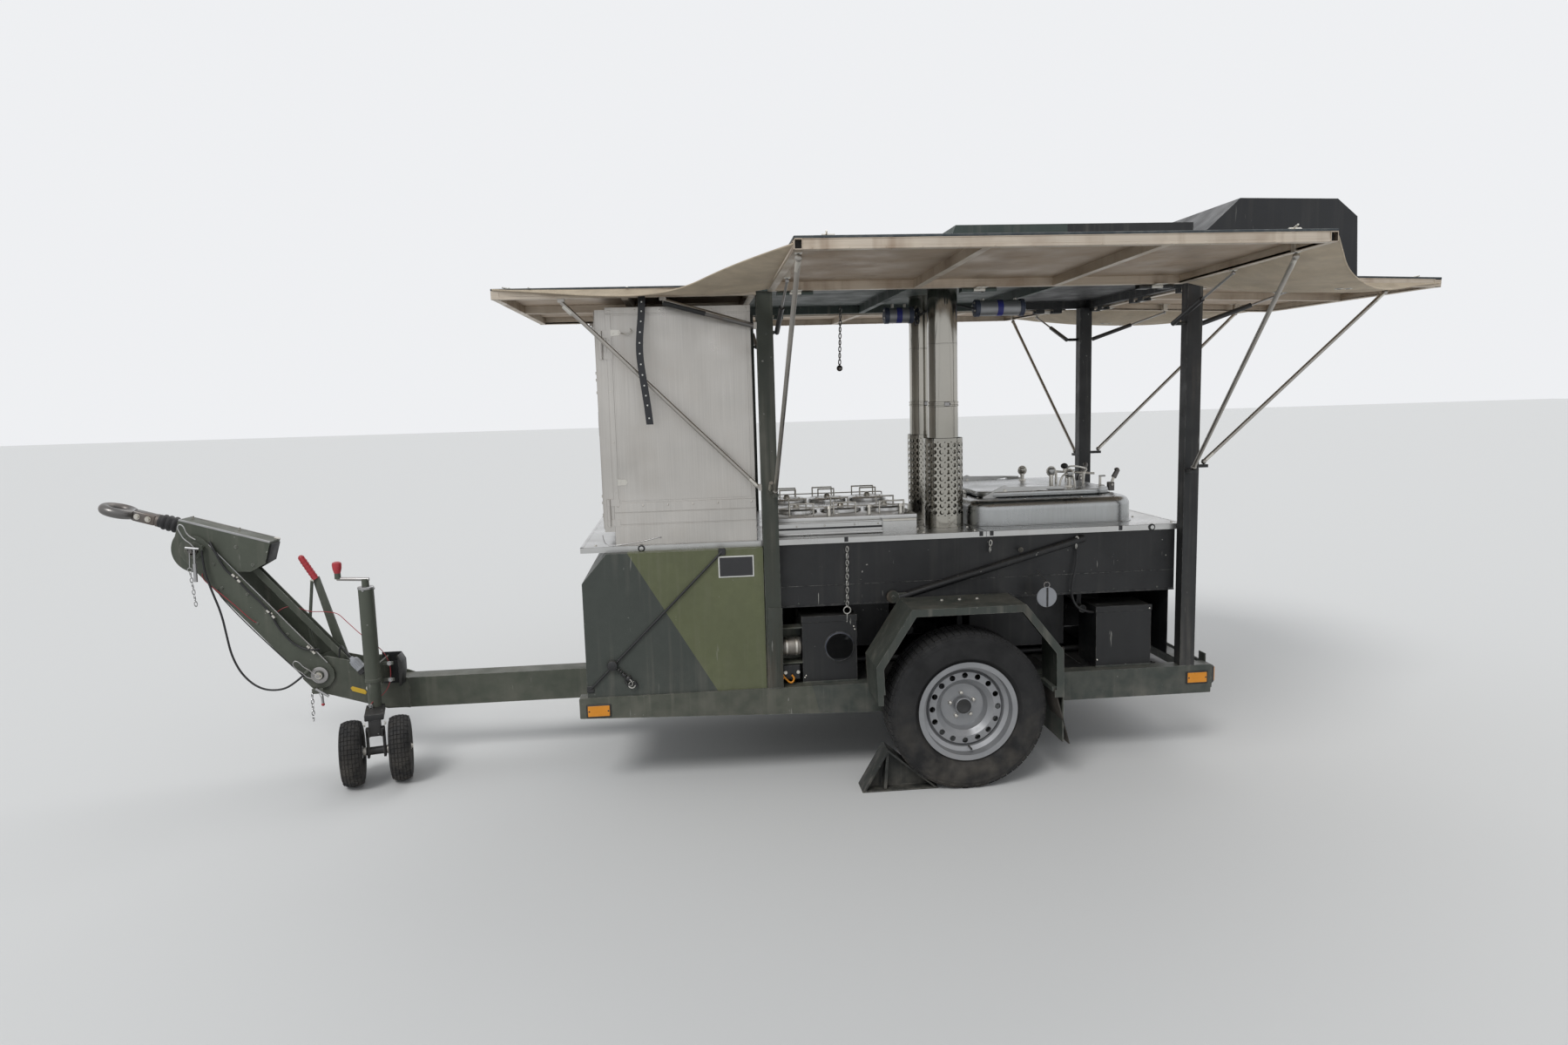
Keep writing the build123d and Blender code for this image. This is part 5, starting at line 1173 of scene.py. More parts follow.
for name, side in SIDES:
    bm = bmesh.new()
    y0, y1 = sorted((side * 10, side * 571))
    slab(bm, at(-1556.5, y0, 1178), at(-1551.5, y1, 2124), 3, 0, 2)
    for z in (1230, 1650, 2070):
        slab(bm, at(-1559, y0 + 12, z - 18), at(-1555, y1 - 12, z + 18), 1.5)
        for k in range(6):
            rivet(bm, at(-1559, y0 + 40 + k * (y1 - y0 - 80) / 5, z), -X, 4, 1)
    slab(bm, at(-1572, side * 62 - 16, 1560), at(-1556, side * 62 + 16, 1700), 6, 2, 2)
    rod(bm, at(-1592, side * 62, 1572), at(-1592, side * 62, 1688), 9, None, 2, 16)
    for z in (1578, 1682):
        rod(bm, at(-1558, side * 62, z), at(-1592, side * 62, z), 6, None, 2, 12)
    for z in (1250, 1790):
        for dz in (-12, 42, 72):
            bolt(bm, at(-1556, side * 545, z + dz), -X, 6, 1)
    turned(bm, [(0, 46), (4, 46), (6, 42), (6, 2)], at(-1558, side * 300, 1900), -X, 1, 32)
    piece("oven_door_trim_" + name, bm, "door_" + name, oven_steel, zinc, plastic_black, slot="oven_steel")

# Stove: pressed lids with wire handles, frame and the strip along its front

bm = bmesh.new()
slab(bm, at(-772, -472, 1158), at(-123, 472, 1181), 4, 0, 2)
BURNER_Y = 235
for x in (-662.5, -447.5, -232.5):
    for y in (-BURNER_Y, BURNER_Y):
        turned(
            bm, [(1181, 100), (1187, 100), (1196, 97.5), (1202.5, 88), (1203, 60), (1200, 52), (1200, 2)],
            at(x, y, 0), Z, 0, 44
        )
        turned(bm, [(1199.5, 18), (1214, 15), (1222, 8), (1222.5, 0.5)], at(x, y, 0), Z, 1, 24)
        for dx in (-62, 62):
            rod(bm, at(x + dx, y - 40, 1198), at(x + dx, y - 40, 1208), 6, 4, 1, 12)
    slab(bm, at(x - 108, -474, 1150), at(x + 108, -468, 1161), 1.5, 1)
for z, y, index in ((1155, -478, 0), (1131, -484, 2), (1107, -492, 0)):
    slab(bm, at(-800, y - 3, z - 5), at(-289, y + 10, z + 5), 2, index, 2)
slabs(bm, (-800, -486, 1101, -289, -474, 1156, 1.5), (-292, -492, 1101, -287, -468, 1166, 1.5))
for x in (-690, -560, -420, -310):
    rivet(bm, at(x, -491, 1143), -Y, 3.5, 1)
for x in (-530, -340, -190):
    rods(bm, (x, -420, 1180, x, -420, 1216, 10, 8, 1, 16), (x, -420, 1214, x, -420, 1226, 16, 12, 1, 16))
piece("stove_top", bm, "trailer", kitchen_steel, zinc, hood_black, slot="kitchen_steel")


def handle(x0, x1, y, low, high, bend=14):
    """A wire bow that stands on two feet."""
    knee = low + 0.6 * (high - low)
    return [
        (x0, y, low), (x0, y, knee), (x0, y, high), (x0, y, high), (x0 + bend, y, high),
        ((x0 + x1) / 2, y, high), (x1 - bend, y, high), (x1, y, high), (x1, y, high), (x1, y, knee),
        (x1, y, low),
    ]


bows = []
for x0, x1 in ((-713, -600), (-505, -400), (-287, -170)):
    middle = (x0 + x1) / 2
    bows += [handle(x0, x1, y, 1182, 1238) for y in (-400, 400)]
    bows += [handle(middle - 42, middle + 42, y, 1203, 1244, 10) for y in (-BURNER_Y, BURNER_Y)]
wires("stove_handles", bows, 3.8, "trailer", zinc, "bare_steel")
RAIL = (
    (-760, 1182), (-760, 1206), (-760, 1210), (-730, 1212), (-160, 1212), (-134, 1210), (-134, 1206),
    (-134, 1182)
)
wires("pot_guard", [[(x, y, z) for x, z in RAIL] for y in (-330, 330)], 3, "trailer", zinc, "bare_steel")

# Kettle: its pressed body, and the lid's hinge arms, clamps, valves and handles

BODY = (150, 950, 470, 128)  # front, rear, half width and corner radius
MOUTH = (240, 860, 330, 80)
LID = (216, 884, 354, 104)
bm = bmesh.new()
FOOT = (
    (1100.4, -10), (1103.6, -10), (1105.0, -8.5), (1105.4, -1.5), (1108.6, -1.5), (1109.4, 0), (1140, 0),
    (1178, 0.6)
)
steps = [math.radians(k * 11.25) for k in range(1, 8)]  # round a quarter circle
SHOULDER = [(1180 + 42 * math.sin(a), 42 - 42 * math.cos(a)) for a in steps]
WELL = ((1225.0, -16), (1228.0, -6), (1228.0, -1), (1222, 0), (880, 0), (862, 6), (856, 24))
outside = [outline(*BODY, z, inset) for z, inset in (*FOOT, *SHOULDER, (1223.4, 60), (1224.6, 90))]
skinned(bm, outside + [outline(*MOUTH, z, inset) for z, inset in WELL])
for low in (-170, 110):
    slab(bm, at(178, low, 1216), at(198, low + 60, 1240), 3, 1)
    rod(bm, at(190, low, 1239), at(190, low + 60, 1239), 8, None, 1)
for k in range(16):
    a = math.tau * (k + 0.5) / 16
    spot = at(
        550 + 372 * math.copysign(abs(math.cos(a)) ** 0.6, math.cos(a)),
        425 * math.copysign(abs(math.sin(a)) ** 0.6, math.sin(a)), 1223
    )
    rod(bm, spot, spot + Z * 0.003, 5.5, 4.5, 1, 12)
piece("kettle_body", bm, "trailer", kettle_steel, zinc, slot="kitchen_steel", stands_for=["kettle"], angle=40)

bm = bmesh.new()
LID_EDGE = (
    (1229.5, 40), (1229.5, 1), (1231, 0), (1235, 0), (1236, -2.5), (1240, -2.5), (1241, 0), (1249, 0.4),
    (1252.6, 2.6), (1254, 8), (1255, 30), (1256, 100),
)
skinned(bm, [outline(*LID, z, inset) for z, inset in LID_EDGE])
for low in (-108, 48):
    rod(bm, at(190, low, 1239), at(190, low + 60, 1239), 8.5, None, 1)
    slab(bm, at(190, low, 1236), at(250, low + 60, 1242), 2, 1)
LID_ARM = (
    (222, 1183), (248, 1176), (262, 1216), (330, 1240), (352, 1238), (560, 1262), (628, 1259), (628, 1268),
    (540, 1272), (356, 1276), (339, 1284), (318, 1276), (232, 1232),
)
for y in (-330, 330):
    plate(bm, [at(x, y - 5, z) for x, z in LID_ARM], 10, 2)
    for dy in (-7, 7):
        rods(
            bm, (339, y + dy, 1257, 339, y + dy * 1.9, 1257, 22, 20, 1, 28),
            (339, y + dy * 1.9, 1257, 339, y + dy * 2.5, 1257, 10, 8, 1, 6),
        )
slabs(bm, (560, -336, 1254, 640, -296, 1262, 2, 2), (560, 296, 1254, 640, 336, 1262, 2, 2))
for x, y, top in ((603, -250, 1356), (695, -250, 1341), (603, 180, 1330)):
    rods(bm, (x, y, 1252, x, y, 1264, 20, 18, 1, 6), (x, y, 1264, x, y, top - 34, 10, 10, 1, 16))
    turned(
        bm, [(0, 12), (10, 19), (26, 19), (32, 10), (34, 0.5)], at(x, y, top - 36), Z, 2 if y < 0 else 1, 24
    )
    ring(bm, at(x, y, top - 20), Y, 22, 3.2, 1, 24)
rods(
    bm, (682, 0, 1316, 927, 0, 1296, 5.5, 5.5, 1, 12), (722, 0, 1252, 722, 0, 1313, 7, 6, 1, 14),
    (867, 0, 1252, 867, 0, 1304, 7, 6, 1, 14), (766, 0, 1306, 766, 0, 1332, 8, 7, 1, 14),
)
ball(bm, at(766, 0, 1340), 19, 3, (1, 1, 0.8))
for y in (-200, 200):
    rod(bm, at(874, y, 1248), at(874, y, 1300), 6.5, 6, 1, 14)
    slabs(bm, (862, y - 16, 1250, 892, y + 16, 1256, 2, 2), (868, y - 7, 1296, 900, y + 7, 1304, 2, 2))
piece(
    "kettle_lid_fittings", bm, "pan_lid", kettle_steel, zinc, lid_alloy, plastic_black, slot="kitchen_steel",
    stands_for=["kettle_lid"]
)
HALF_BOW = ((820, 120, 1254), (822, 120, 1290), (826, 120, 1320), (844, 110, 1331), (850, 0, 1333))
WIDE_BOW = [(x, -y, z) for x, y, z in HALF_BOW] + list(HALF_BOW[3::-1])
SIDE_BOW = [
    (x, -262, z)
    for x, z in ((640, 1254), (646, 1300), (668, 1322), (700, 1322), (716, 1300), (720, 1254))
]
wires("kettle_lid_handles", [WIDE_BOW, SIDE_BOW], 4.8, "pan_lid", zinc, "bare_steel")
bm = bmesh.new()
for y in (-200, 200):
    for dx in (-10, 10):
        slab(bm, at(914, y + dx - 3, 1225), at(944, y + dx + 3, 1268), 2)
    rods(
        bm, (932, y - 18, 1256, 932, y + 18, 1256, 6, 6, 1, 14),
        (932, y, 1256, 955, y, 1322, 7.5, 6.5, 1, 14), (944, y, 1290, 966, y, 1330, 14, 12, 0, 8),
    )
    ball(bm, at(960, y, 1330), 13, 0, (1, 1, 0.7))
piece("kettle_clamps", bm, "trailer", dark_steel, zinc, slot="bare_steel")

# Worktop: folded bright edge, seams, cable clips, caps and bolt heads

bm = bmesh.new()
for side in (-1, 1):
    slab(bm, at(-1664, side * 590, 1098.6), at(1117, side * 576, 1100.9), 0.8)
    for x in (-1396, 960):
        turned(bm, [(0, 16), (4, 16), (5.5, 14), (5.5, 0.5)], at(x, side * 589, 1088), Y * side, 1, 24)
        turned(bm, [(5, 10), (9, 9), (9.5, 0.5)], at(x, side * 589, 1088), Y * side, 0, 20)
    for x in (-477, 148, 197, 810):
        slab(bm, at(x - 9, side * 586, 1079), at(x + 9, side * 591, 1101), 1, 1)
    for x in (172, -860):
        slab(bm, at(x - 1, side * 584, 1076), at(x + 1, side * 590.3, 1100.9), 0, 1)
slabs(
    bm, (-1664, -590, 1098.6, -1650, 590, 1100.9, 0.8), (1103, -590, 1098.6, 1117, 590, 1100.9, 0.8),
    (171, -588, 1099, 174, 588, 1101, 0.4, 1),
)
for x in (-110, 130):
    for y in (-545, -420, 420, 545):
        bolt(bm, at(x, y, 1100), Z, 5, 2)
for x, y in ((-1600, -540), (-1600, 540), (1080, -540), (1080, 540), (1000, -300), (1000, 300)):
    bolt(bm, at(x, y, 1100), Z, 5, 2)
piece("worktop_trim", bm, "trailer", kitchen_steel, plastic_black, zinc, slot="kitchen_steel")

# Front end: towing eye, gaiter, head, arm, handbrake and jockey leg fittings

TILT = math.radians(17)  # of the towing eye's shaft
KNEE, HEAD_PIN = (-3001, 0, 456), (-3525, 0, 1093)  # the arm's two pivots
ARM, ARM_ACROSS = (at(*HEAD_PIN) - at(*KNEE)).normalized(), Vector((0.772, 0, 0.635))
SHAFT = Vector((-math.cos(TILT), 0, math.sin(TILT)))
SHAFT_DOWN = SHAFT.cross(Y)
HEAD_FRAME = Matrix.Translation(at(-3525, 0, 1177)) @ Matrix((SHAFT, -Y, SHAFT_DOWN)).transposed().to_4x4()
FORK_FRAME = Matrix.Translation(at(JOCKEY_X, JOCKEY_Y, 0)) @ Matrix.Rotation(YAW, 4, "Z")

GAITER = (
    (80, 27), (80, 36), (88, 37), (92, 33), (96, 31), (102, 35), (108, 38.5), (114, 38.5), (119, 34),
    (123, 31), (128, 34), (134, 38), (140, 38), (145, 34), (149, 30.5), (154, 34), (159, 37), (164, 37),
    (169, 33), (172, 30), (176, 31), (184, 31), (184, 27)
)
bm = bmesh.new()
turned(bm, GAITER, (0, 0, 0), X, 0, 48)
turned(bm, [(78.5, 27.5), (78.5, 39.5), (83, 39.5), (83, 27.5)], (0, 0, 0), X, 1, 40)
piece(
    "shaft_gaiter", placed(bm, HEAD_FRAME), "head", black_rubber, zinc, slot="rubber", stands_for=["gaiter"]
)

bm = bmesh.new()
slab(bm, mm(196, -28, -25), mm(300, 28, 25), 7, 0, 3)
turned(bm, [(184, 26), (184, 30), (196, 31), (196, 26)], (0, 0, 0), X, 0, 32, closed=True)
turned(bm, [(298, 20), (298, 28.5), (308, 27.5), (316, 20)], (0, 0, 0), X, 1, 36)
for a in (227, 277):
    for side in (-1, 1):
        bolt(bm, mm(a, side * 28, 0), (0, side, 0), 10.5, 2)
piece("eye_clamp", placed(bm, HEAD_FRAME), "head", dark_steel, bare_steel, zinc, slot="black_paint")

bm = bmesh.new()
for side in (-1, 1):
    slabs(
        bm, (-345, side * 57, -44.6, 78, side * 63.4, -41, 1.2, 1),
        (-345, side * 63, -42, 78, side * 64.0, -36, 0.4, 1), place=mm,
    )
for a in (51, -168):
    rods(bm, (a, -20, -42, a, -20, -50, 5.5, 5, 2, 6), (a, -20, -50, a, -20, -57, 3, 3.6, 2, 12), place=mm)
slabs(bm, (-353, -52, -30, -345, 52, 62, 3, 3, 2), (-349, -56, -47, -325, -30, -40, 2, 2), place=mm)
for a, b in ((-338, -44), (-338, 10), (-318, 60)):
    bolt(bm, mm(a, -63, b + 12), (0, -1, 0), 5, 2)
for a, b in ((70, 0), (-60, 40), (-200, 20), (-292, 86)):
    bolt(bm, mm(a, -63, b), (0, -1, 0), 6.5)
    bolt(bm, mm(a, 63, b), (0, 1, 0), 6.5)
piece(
    "head_fittings", placed(bm, HEAD_FRAME), "head", drawbar_green, bare_steel, zinc, black_rubber,
    slot="army_green"
)

bm = bmesh.new()
for y, radius in ((-98, 22), (-104, 13), (-118, 9)):
    rod(bm, at(-3525, y + 14, 1093), at(-3525, y, 1093), radius, None, 0, 28)
rods(
    bm, (-3501, -124, 1108, -3506, -124, 1030, 5.5, 5.5, 1, 14),
    (-3506, -124, 1034, -3508, -124, 948, 8.8, 8, 1, 16), (-3540, -124, 1112, -3480, -124, 1104, 6, 6, 1, 14),
    (-3530, -124, 1014, -3527, -118, 1086, 2.2, 2.2, 1, 10),
)
chain(bm, at(-3530, -124, 1000), at(-3518, -124, 828), 22, 2.6, 1)
ring(bm, at(-3530, -124, 1006), Y, 10, 2, 1, 20)
piece("head_pin", bm, "head", dark_steel, bare_steel, slot="bare_steel")
HEAD_CLIP = (
    (-3504, -106, 1098), (-3520, -108, 1128), (-3552, -106, 1150), (-3566, -104, 1180), (-3578, -103, 1206),
    (-3566, -102, 1224), (-3548, -102, 1210), (-3540, -103, 1180), (-3524, -104, 1160), (-3500, -105, 1146),
)
wire("head_clip", HEAD_CLIP, 2.8, "head", bare_steel, "bare_steel")

bm = bmesh.new()
for x, z in ((-3342, 951), (-3200, 770), (-3029, 585)):
    spot = at(x, -76, z)
    rod(bm, spot, spot - Y * 0.009, 8.5, 7.5, 0, 14)
    bolt(bm, spot - Y * 0.008, -Y, 6.2)
    for t in (-1, 1):
        rod(bm, spot - Y * 0.012 + ARM * 0.010 * t, spot - Y * 0.012 + ARM * 0.026 * t, 6.6, None, 0, 14)
for share, out in ((0.30, 28), (0.46, -36), (0.62, 30), (0.74, -34), (0.87, 20)):
    spot = at(*KNEE).lerp(at(*HEAD_PIN), share) - Y * 0.076 + ARM_ACROSS * out / 1000
    bolt(bm, spot, -Y, 5.8, 1)
    bolt(bm, Vector((spot.x, -spot.y, spot.z)), Y, 5.8, 1)
for side in (-1, 1):
    edge = [at(-3001, side * 76, 456) + ARM * a + ARM_ACROSS * 0.0672 for a in (0.02, 0.80)]
    rod(bm, edge[0], edge[1], 2.6, None, 2, 8)
for side in (-1, 1):
    turned(bm, [(85.5, 40.5), (86.2, 40.5), (87, 38), (87, 23), (85.5, 22.5)], at(*KNEE), Y * side, 2, 36)
    bolt(bm, at(-3001, side * 98, 456), Y * side, 13)
piece("arm_fittings", bm, "arm", zinc, drawbar_green, bare_steel, slot="army_green")

CLIPPED = (
    (-3452, -70, 1128), (-3440, -84, 1108), (-3424, -88, 1080), (-3405, -88, 1030), (-3380, -88, 985),
    (-3342, -88, 951), (-3288, -88, 880), (-3232, -88, 822), (-3200, -88, 770), (-3170, -88, 700),
    (-3118, -88, 628), (-3062, -88, 590), (-3029, -88, 585), (-3010, -84, 582), (-2998, -70, 580),
)
brake_cable = wire("brake_cable", CLIPPED, 5.2, "arm", cable_black, "rubber")
THIN = (
    (-3438, -66, 905), (-3430, -92, 890), (-3405, -96, 850), (-3300, -98, 718), (-3180, -98, 580),
    (-3090, -96, 478), (-3066, -90, 451), (-3060, -66, 446),
)
thin_cable = wire("thin_cable", THIN, 2.6, "arm", cable_black, "rubber")
RED_ARM = (
    (-3500, -66, 985), (-3498, -96, 964), (-3450, -98, 915), (-3394, -98, 862), (-3340, -96, 805),
    (-3290, -90, 745), (-3262, -76, 722), (-3250, -40, 716),
)
red_cable_arm = wire("red_cable_arm", RED_ARM, 1.9, "arm", cable_red, "rubber")

bm = bmesh.new()
grip_foot, grip_top = at(-3022, 35, 911), at(-3081, 35, 1016)
rod(bm, grip_foot, grip_top, 15.6, 15, 0, 24)
ball(bm, at(-3082, 35, 1018), 15.2)
for k in range(6):
    foot = grip_foot.lerp(grip_top, 0.12 + k * 0.14)
    rod(bm, foot, foot + (grip_top - grip_foot).normalized() * 0.006, 16.8, None, 0, 24)
rods(
    bm, (-3036, 20, 905, -3068, 20, 655, 7.5, 7.5, 1, 16), (-3068, 20, 660, -3050, 20, 560, 7.5, 7.5, 1, 16),
    (-3036, 16, 905, -3036, 42, 905, 9, 9, 2, 16),
)
piece("handbrake_fittings", bm, "trailer", grip_red, drawbar_green, zinc, slot="army_green")

KNOB = (
    (965.5, 0.5), (965.5, 8.5), (970, 9), (980, 14.5), (1000, 20), (1020, 21.5), (1029, 19), (1033, 11),
    (1033.5, 0.5)
)
bm = bmesh.new()
rods(
    bm, (-2683, -240, 944, -2826, -240, 952, 8.8, 8.4, 0, 20),
    (JOCKEY_X, JOCKEY_Y, 912, JOCKEY_X, JOCKEY_Y, 947, 16.8, 16, 1, 24),
)
turned(bm, KNOB, at(-2823, -240, 0), Z, 2, 32)
turned(
    bm, [(900, 35.2), (900, 36.8), (909, 36.8), (911, 34), (911, 16.5)], at(JOCKEY_X, JOCKEY_Y, 0), Z, 0, 40
)
for a in (0.4, 2.5, 4.6):
    spot = at(JOCKEY_X, JOCKEY_Y, 898) + Vector((math.cos(a), math.sin(a), 0)) * 0.0355
    bolt(bm, spot, (math.cos(a), math.sin(a), 0), 4.5)
turned(bm, [(454.5, 33.5), (454.5, 37.2), (468, 37.2), (470, 35.2)], at(JOCKEY_X, JOCKEY_Y, 0), Z, 1, 40)
for z in (448, 528):
    slab(bm, at(-2739, -206, z - 8), at(-2614, -200, z + 8), 2, 1)
    bolt(bm, at(-2632, -206, z), -Y, 8)
piece("jockey_crank", bm, "trailer", bare_steel, drawbar_green, grip_red, slot="bare_steel")

bm = bmesh.new()
punched(bm, lambda c, r: at(-2700 + 46 * c, -83, 508 + 46 * r), 46, 46, 2, 1, 8.5, 20)
bmesh.ops.recalc_face_normals(bm, faces=bm.faces[:])
bmesh.ops.solidify(bm, geom=bm.faces[:], thickness=0.006)
prism(bm, [(-2704, 398), (-2600, 398), (-2600, 508), (-2704, 508)], -84, -78, 0, 0.8)
prism(bm, [(-2606, 400), (-2600, 400), (-2588, 470), (-2588, 520), (-2606, 552)], -160, -78, 0, 0.8)
for x, z in ((-2690, 420), (-2620, 420)):
    bolt(bm, at(x, -84, z), -Y, 5.5)
piece("jockey_bracket_plate", bm, "trailer", black_paint, zinc, slot="black_paint")

bm = bmesh.new()
plug_frame = aimed(at(-2838, -92, 530), Vector((0.62, 0.0, -0.78)))
turned(
    bm, [(-12, 0.5), (-12, 8), (0, 12), (4, 21), (12, 23), (50, 23), (54, 24.5), (62, 24.5), (64, 19)],
    (0, 0, 0), Z, 0, 32
)
turned(bm, [(62, 19.5), (66, 26), (84, 26), (88, 23), (88, 0.5)], (0, 0, 0), Z, 1, 32)
for k in range(16):
    a = math.tau * k / 16
    rod(
        bm, mm(23 * math.cos(a), 23 * math.sin(a), 16), mm(23 * math.cos(a), 23 * math.sin(a), 46), 1.8, None,
        0, 6
    )
plug = piece("trailer_plug", placed(bm, plug_frame), "trailer", plastic_grey, plastic_black, slot="rubber")
bm = bmesh.new()
prism(
    bm, [(-2868, 378), (-2858, 386), (-2800, 365), (-2793, 352), (-2799, 341), (-2860, 362)], -64.0, -63.2, 2,
    0.3
)
prism(
    bm, [(-2865, 376), (-2857, 383), (-2802, 363), (-2796, 352), (-2800, 344), (-2859, 365)], -64.4, -63.6, 3,
    0
)
for side in (-1, 1):
    rod(bm, at(-2781, side * 55, 374), at(-2781, side * 70, 374), 14, 12, 4, 18)
piece("drawbar_fittings", bm, "trailer", plastic_grey, plastic_black, yellow, yellow, zinc, slot="army_green")
PLUG_LEAD = (
    (-2914, -50, 492), (-2914, -50, 530), (-2908, -52, 575), (-2893, -68, 596), (-2876, -86, 582),
    (-2862, -92, 558), (-2846, -92, 540)
)
plug_lead = wire("plug_lead", PLUG_LEAD, 4.2, "trailer", cable_black, "rubber")

bm = bmesh.new()
rods(
    bm, (-3012, -84, 385, -2992, -100, 352, 7, 7, 0, 14), (-2992, -100, 356, -2990, -101, 318, 6.5, 6, 0, 14),
    (-3018, -100, 392, -2960, -100, 352, 7.5, 6, 0, 14), (-3001, -100, 456, -3001, -112, 456, 11, 10, 0, 6),
)
ball(bm, at(-2990, -101, 314), 8.5, 1)
slab(bm, at(-3040, -98, 366), at(-2984, -90, 392), 3, 2)
chain(bm, at(-3038, -99, 372), at(-3042, -99, 230), 22, 2.6)
piece("knee_pin", bm, "trailer", bare_steel, grip_red, drawbar_green, slot="bare_steel")
KNEE_CLIP = (
    (-3006, -104, 424), (-3024, -105, 444), (-3052, -105, 452), (-3072, -104, 476), (-3098, -103, 492),
    (-3116, -102, 518), (-3106, -102, 538), (-3084, -102, 530), (-3066, -103, 504), (-3040, -104, 490),
    (-3020, -104, 466), (-3002, -104, 462),
)
wire("knee_clip", KNEE_CLIP, 2.8, "trailer", bare_steel, "bare_steel")

RED = (
    (-3250, -40, 716), (-3200, -10, 770), (-3143, 8, 790), (-3095, 14, 768), (-3054, 14, 752),
    (-3005, 10, 752), (-2962, 0, 750), (-2905, -40, 748), (-2856, -100, 728), (-2800, -150, 695),
    (-2745, -195, 662), (-2700, -190, 625), (-2658, -188, 580), (-2634, -188, 520), (-2634, -190, 450),
    (-2650, -205, 400), (-2678, -235, 372), (-2700, -268, 366), (-2709, -281, 352),
)
red_line = wire("red_cable", RED, 1.9, "trailer", cable_red, "rubber")
red_tube = added(bpy.data.objects.new("red_cable_loose", bpy.data.meshes.new_from_object(red_line)))
red_path = line_through(red_line)
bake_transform(red_tube)

bm = bmesh.new()
ring(bm, at(-2709, -281, 345), Y, 8, 2, 0, 20)
for x in (-2716, -2702):
    rod(bm, at(x, -281, 336), at(x, -281, 296), 2.6, None, 0, 10)
ring(bm, at(-2709, -281, 293), Y, 7.5, 2.6, 0, 20)
rod(bm, at(-2709, -281, 338), at(-2709, -281, 350), 4.5, None, 0, 12)
snap_hook = piece("snap_hook", bm, "trailer", bare_steel, slot="bare_steel")

bm = bmesh.new()
slabs(bm, (-42, -145, 303, 42, 28, 333.2, 4, 0, 2), (-27, -140, 226, 27, -96, 305, 4, 0, 2), place=mm)
for side in (-1, 1):
    slabs(
        bm, (side * 30, -138, 124, side * 42, -98, 262, 3, 0, 2),
        (side * 22, -138, 222, side * 42, -98, 264, 4, 0, 2), place=mm,
    )
    bolt(bm, mm(side * 42, -118, 280), (side, 0, 0), 7, 1)
rod(bm, mm(-52, -115, 152.5), mm(52, -115, 152.5), 18.5, None, 0, 28)
turned(bm, [(312.5, 40), (333.5, 40), (333.8, 31)], (0, 0, 0), Z, 0, 36)
piece(
    "jockey_fork_frame", placed(bm, FORK_FRAME), "jockey_swivel", black_paint, zinc, slot="black_paint",
    stands_for=["jockey_fork"]
)

# Cabinet and rails: blank plate, reflectors, strap fittings, right-hand door, rear lamps

bm = bmesh.new()
slabs(bm, (-1060, -643, 949, -902, -640, 1045, 0.8, 1), (-1054, -644.4, 955, -908, -641, 1039, 0.6))
for x in (-1050, -912):
    for z in (959, 1035):
        rivet(bm, at(x, -644.4, z), -Y, 3, 2)
for side in (-1, 1):
    for x0, x1 in ((-1667, -1559), (1112, 1218)):
        slabs(
            bm, (x0, side * 650, 345, x1, side * 655, 405, 3, 2),
            (x0 + 6, side * 654, 351, x1 - 6, side * 658, 399, 2, 3),
        )
        for x in (x0 + 12, x1 - 12):
            rivet(bm, at(x, side * 658, 375), Y * side, 4, 2)
for x, z, radius in ((-1544, 579, 13), (-1496, 533, 10)):
    rod(bm, at(x, -640, z), at(x, -652, z), radius, radius * 0.8, 2, 18)
    ball(bm, at(x, -654, z), radius * 0.75, 2)
ring(bm, at(-1475, -650, 501), Y, 16, 3, 2, 24)
slab(bm, at(-1482, -648, 512), at(-1468, -640, 530), 2, 2)
for x, z in ((-1042, 1066), (-1645, 472)):
    slab(bm, at(x - 16, -646, z - 16), at(x + 16, -640, z + 16), 3, 2)
piece("cabinet_fittings", bm, "trailer", plate_black, plate_white, plastic_black, orange, slot="black_paint")

bm = bmesh.new()
slab(bm, at(-1600, 640, 470), at(-1010, 644, 1020), 1.5)
for z in (560, 760, 930):
    rod(bm, at(-1012, 646, z - 30), at(-1012, 646, z + 30), 7, None, 1, 16)
    slab(bm, at(-1050, 644, z - 26), at(-1010, 647, z + 26), 1)
for k in range(7):
    prism(
        bm, [(-1540, 600 + 30 * k), (-1300, 600 + 30 * k), (-1300, 606 + 30 * k), (-1540, 606 + 30 * k)], 644,
        656, 0, 1.5
    )
slab(bm, at(-1590, 644, 730), at(-1556, 650, 850), 2, 1)
rods(bm, (-1573, 650, 830, -1573, 672, 830, 9, 9, 1, 18), (-1573, 670, 836, -1573, 670, 750, 8.5, 7.5, 2, 18))
piece("cabinet_door", bm, "trailer", cabinet_paint, zinc, plastic_black, slot="army_green")

bm = bmesh.new()
slab(bm, at(1235, -650, 321), at(1241, 650, 429), 2, 3)
for side in (-1, 1):
    slab(bm, at(1241, side * 620, 331), at(1271, side * 400, 419), 8, 4)
    for y0, y1, index in ((612, 545, 1), (541, 475, 0), (471, 408, 2)):
        slab(bm, at(1267, side * y0, 339), at(1276, side * y1, 411), 4, index)
    for z in (347, 403):
        bolt(bm, at(1241, side * 385, z), X, 6, 5)
    prism(bm, [(1236, 420), (1241, 420), (1241, 470), (1236, 470)], side * 530, side * 590, 3, 1)
slabs(bm, (1242, -260, 312, 1245, 260, 424, 0.8, 6), (1241, -264, 308, 1243, 264, 428, 0.8, 4))
for y in (-50, 50):
    slab(bm, at(1242, y - 20, 430), at(1267, y + 20, 450), 4, 4)
piece(
    "rear_lamps", bm, "trailer", lens_red, orange, lens_clear, rail_green, plastic_black, zinc, plate_white,
    slot="black_paint"
)

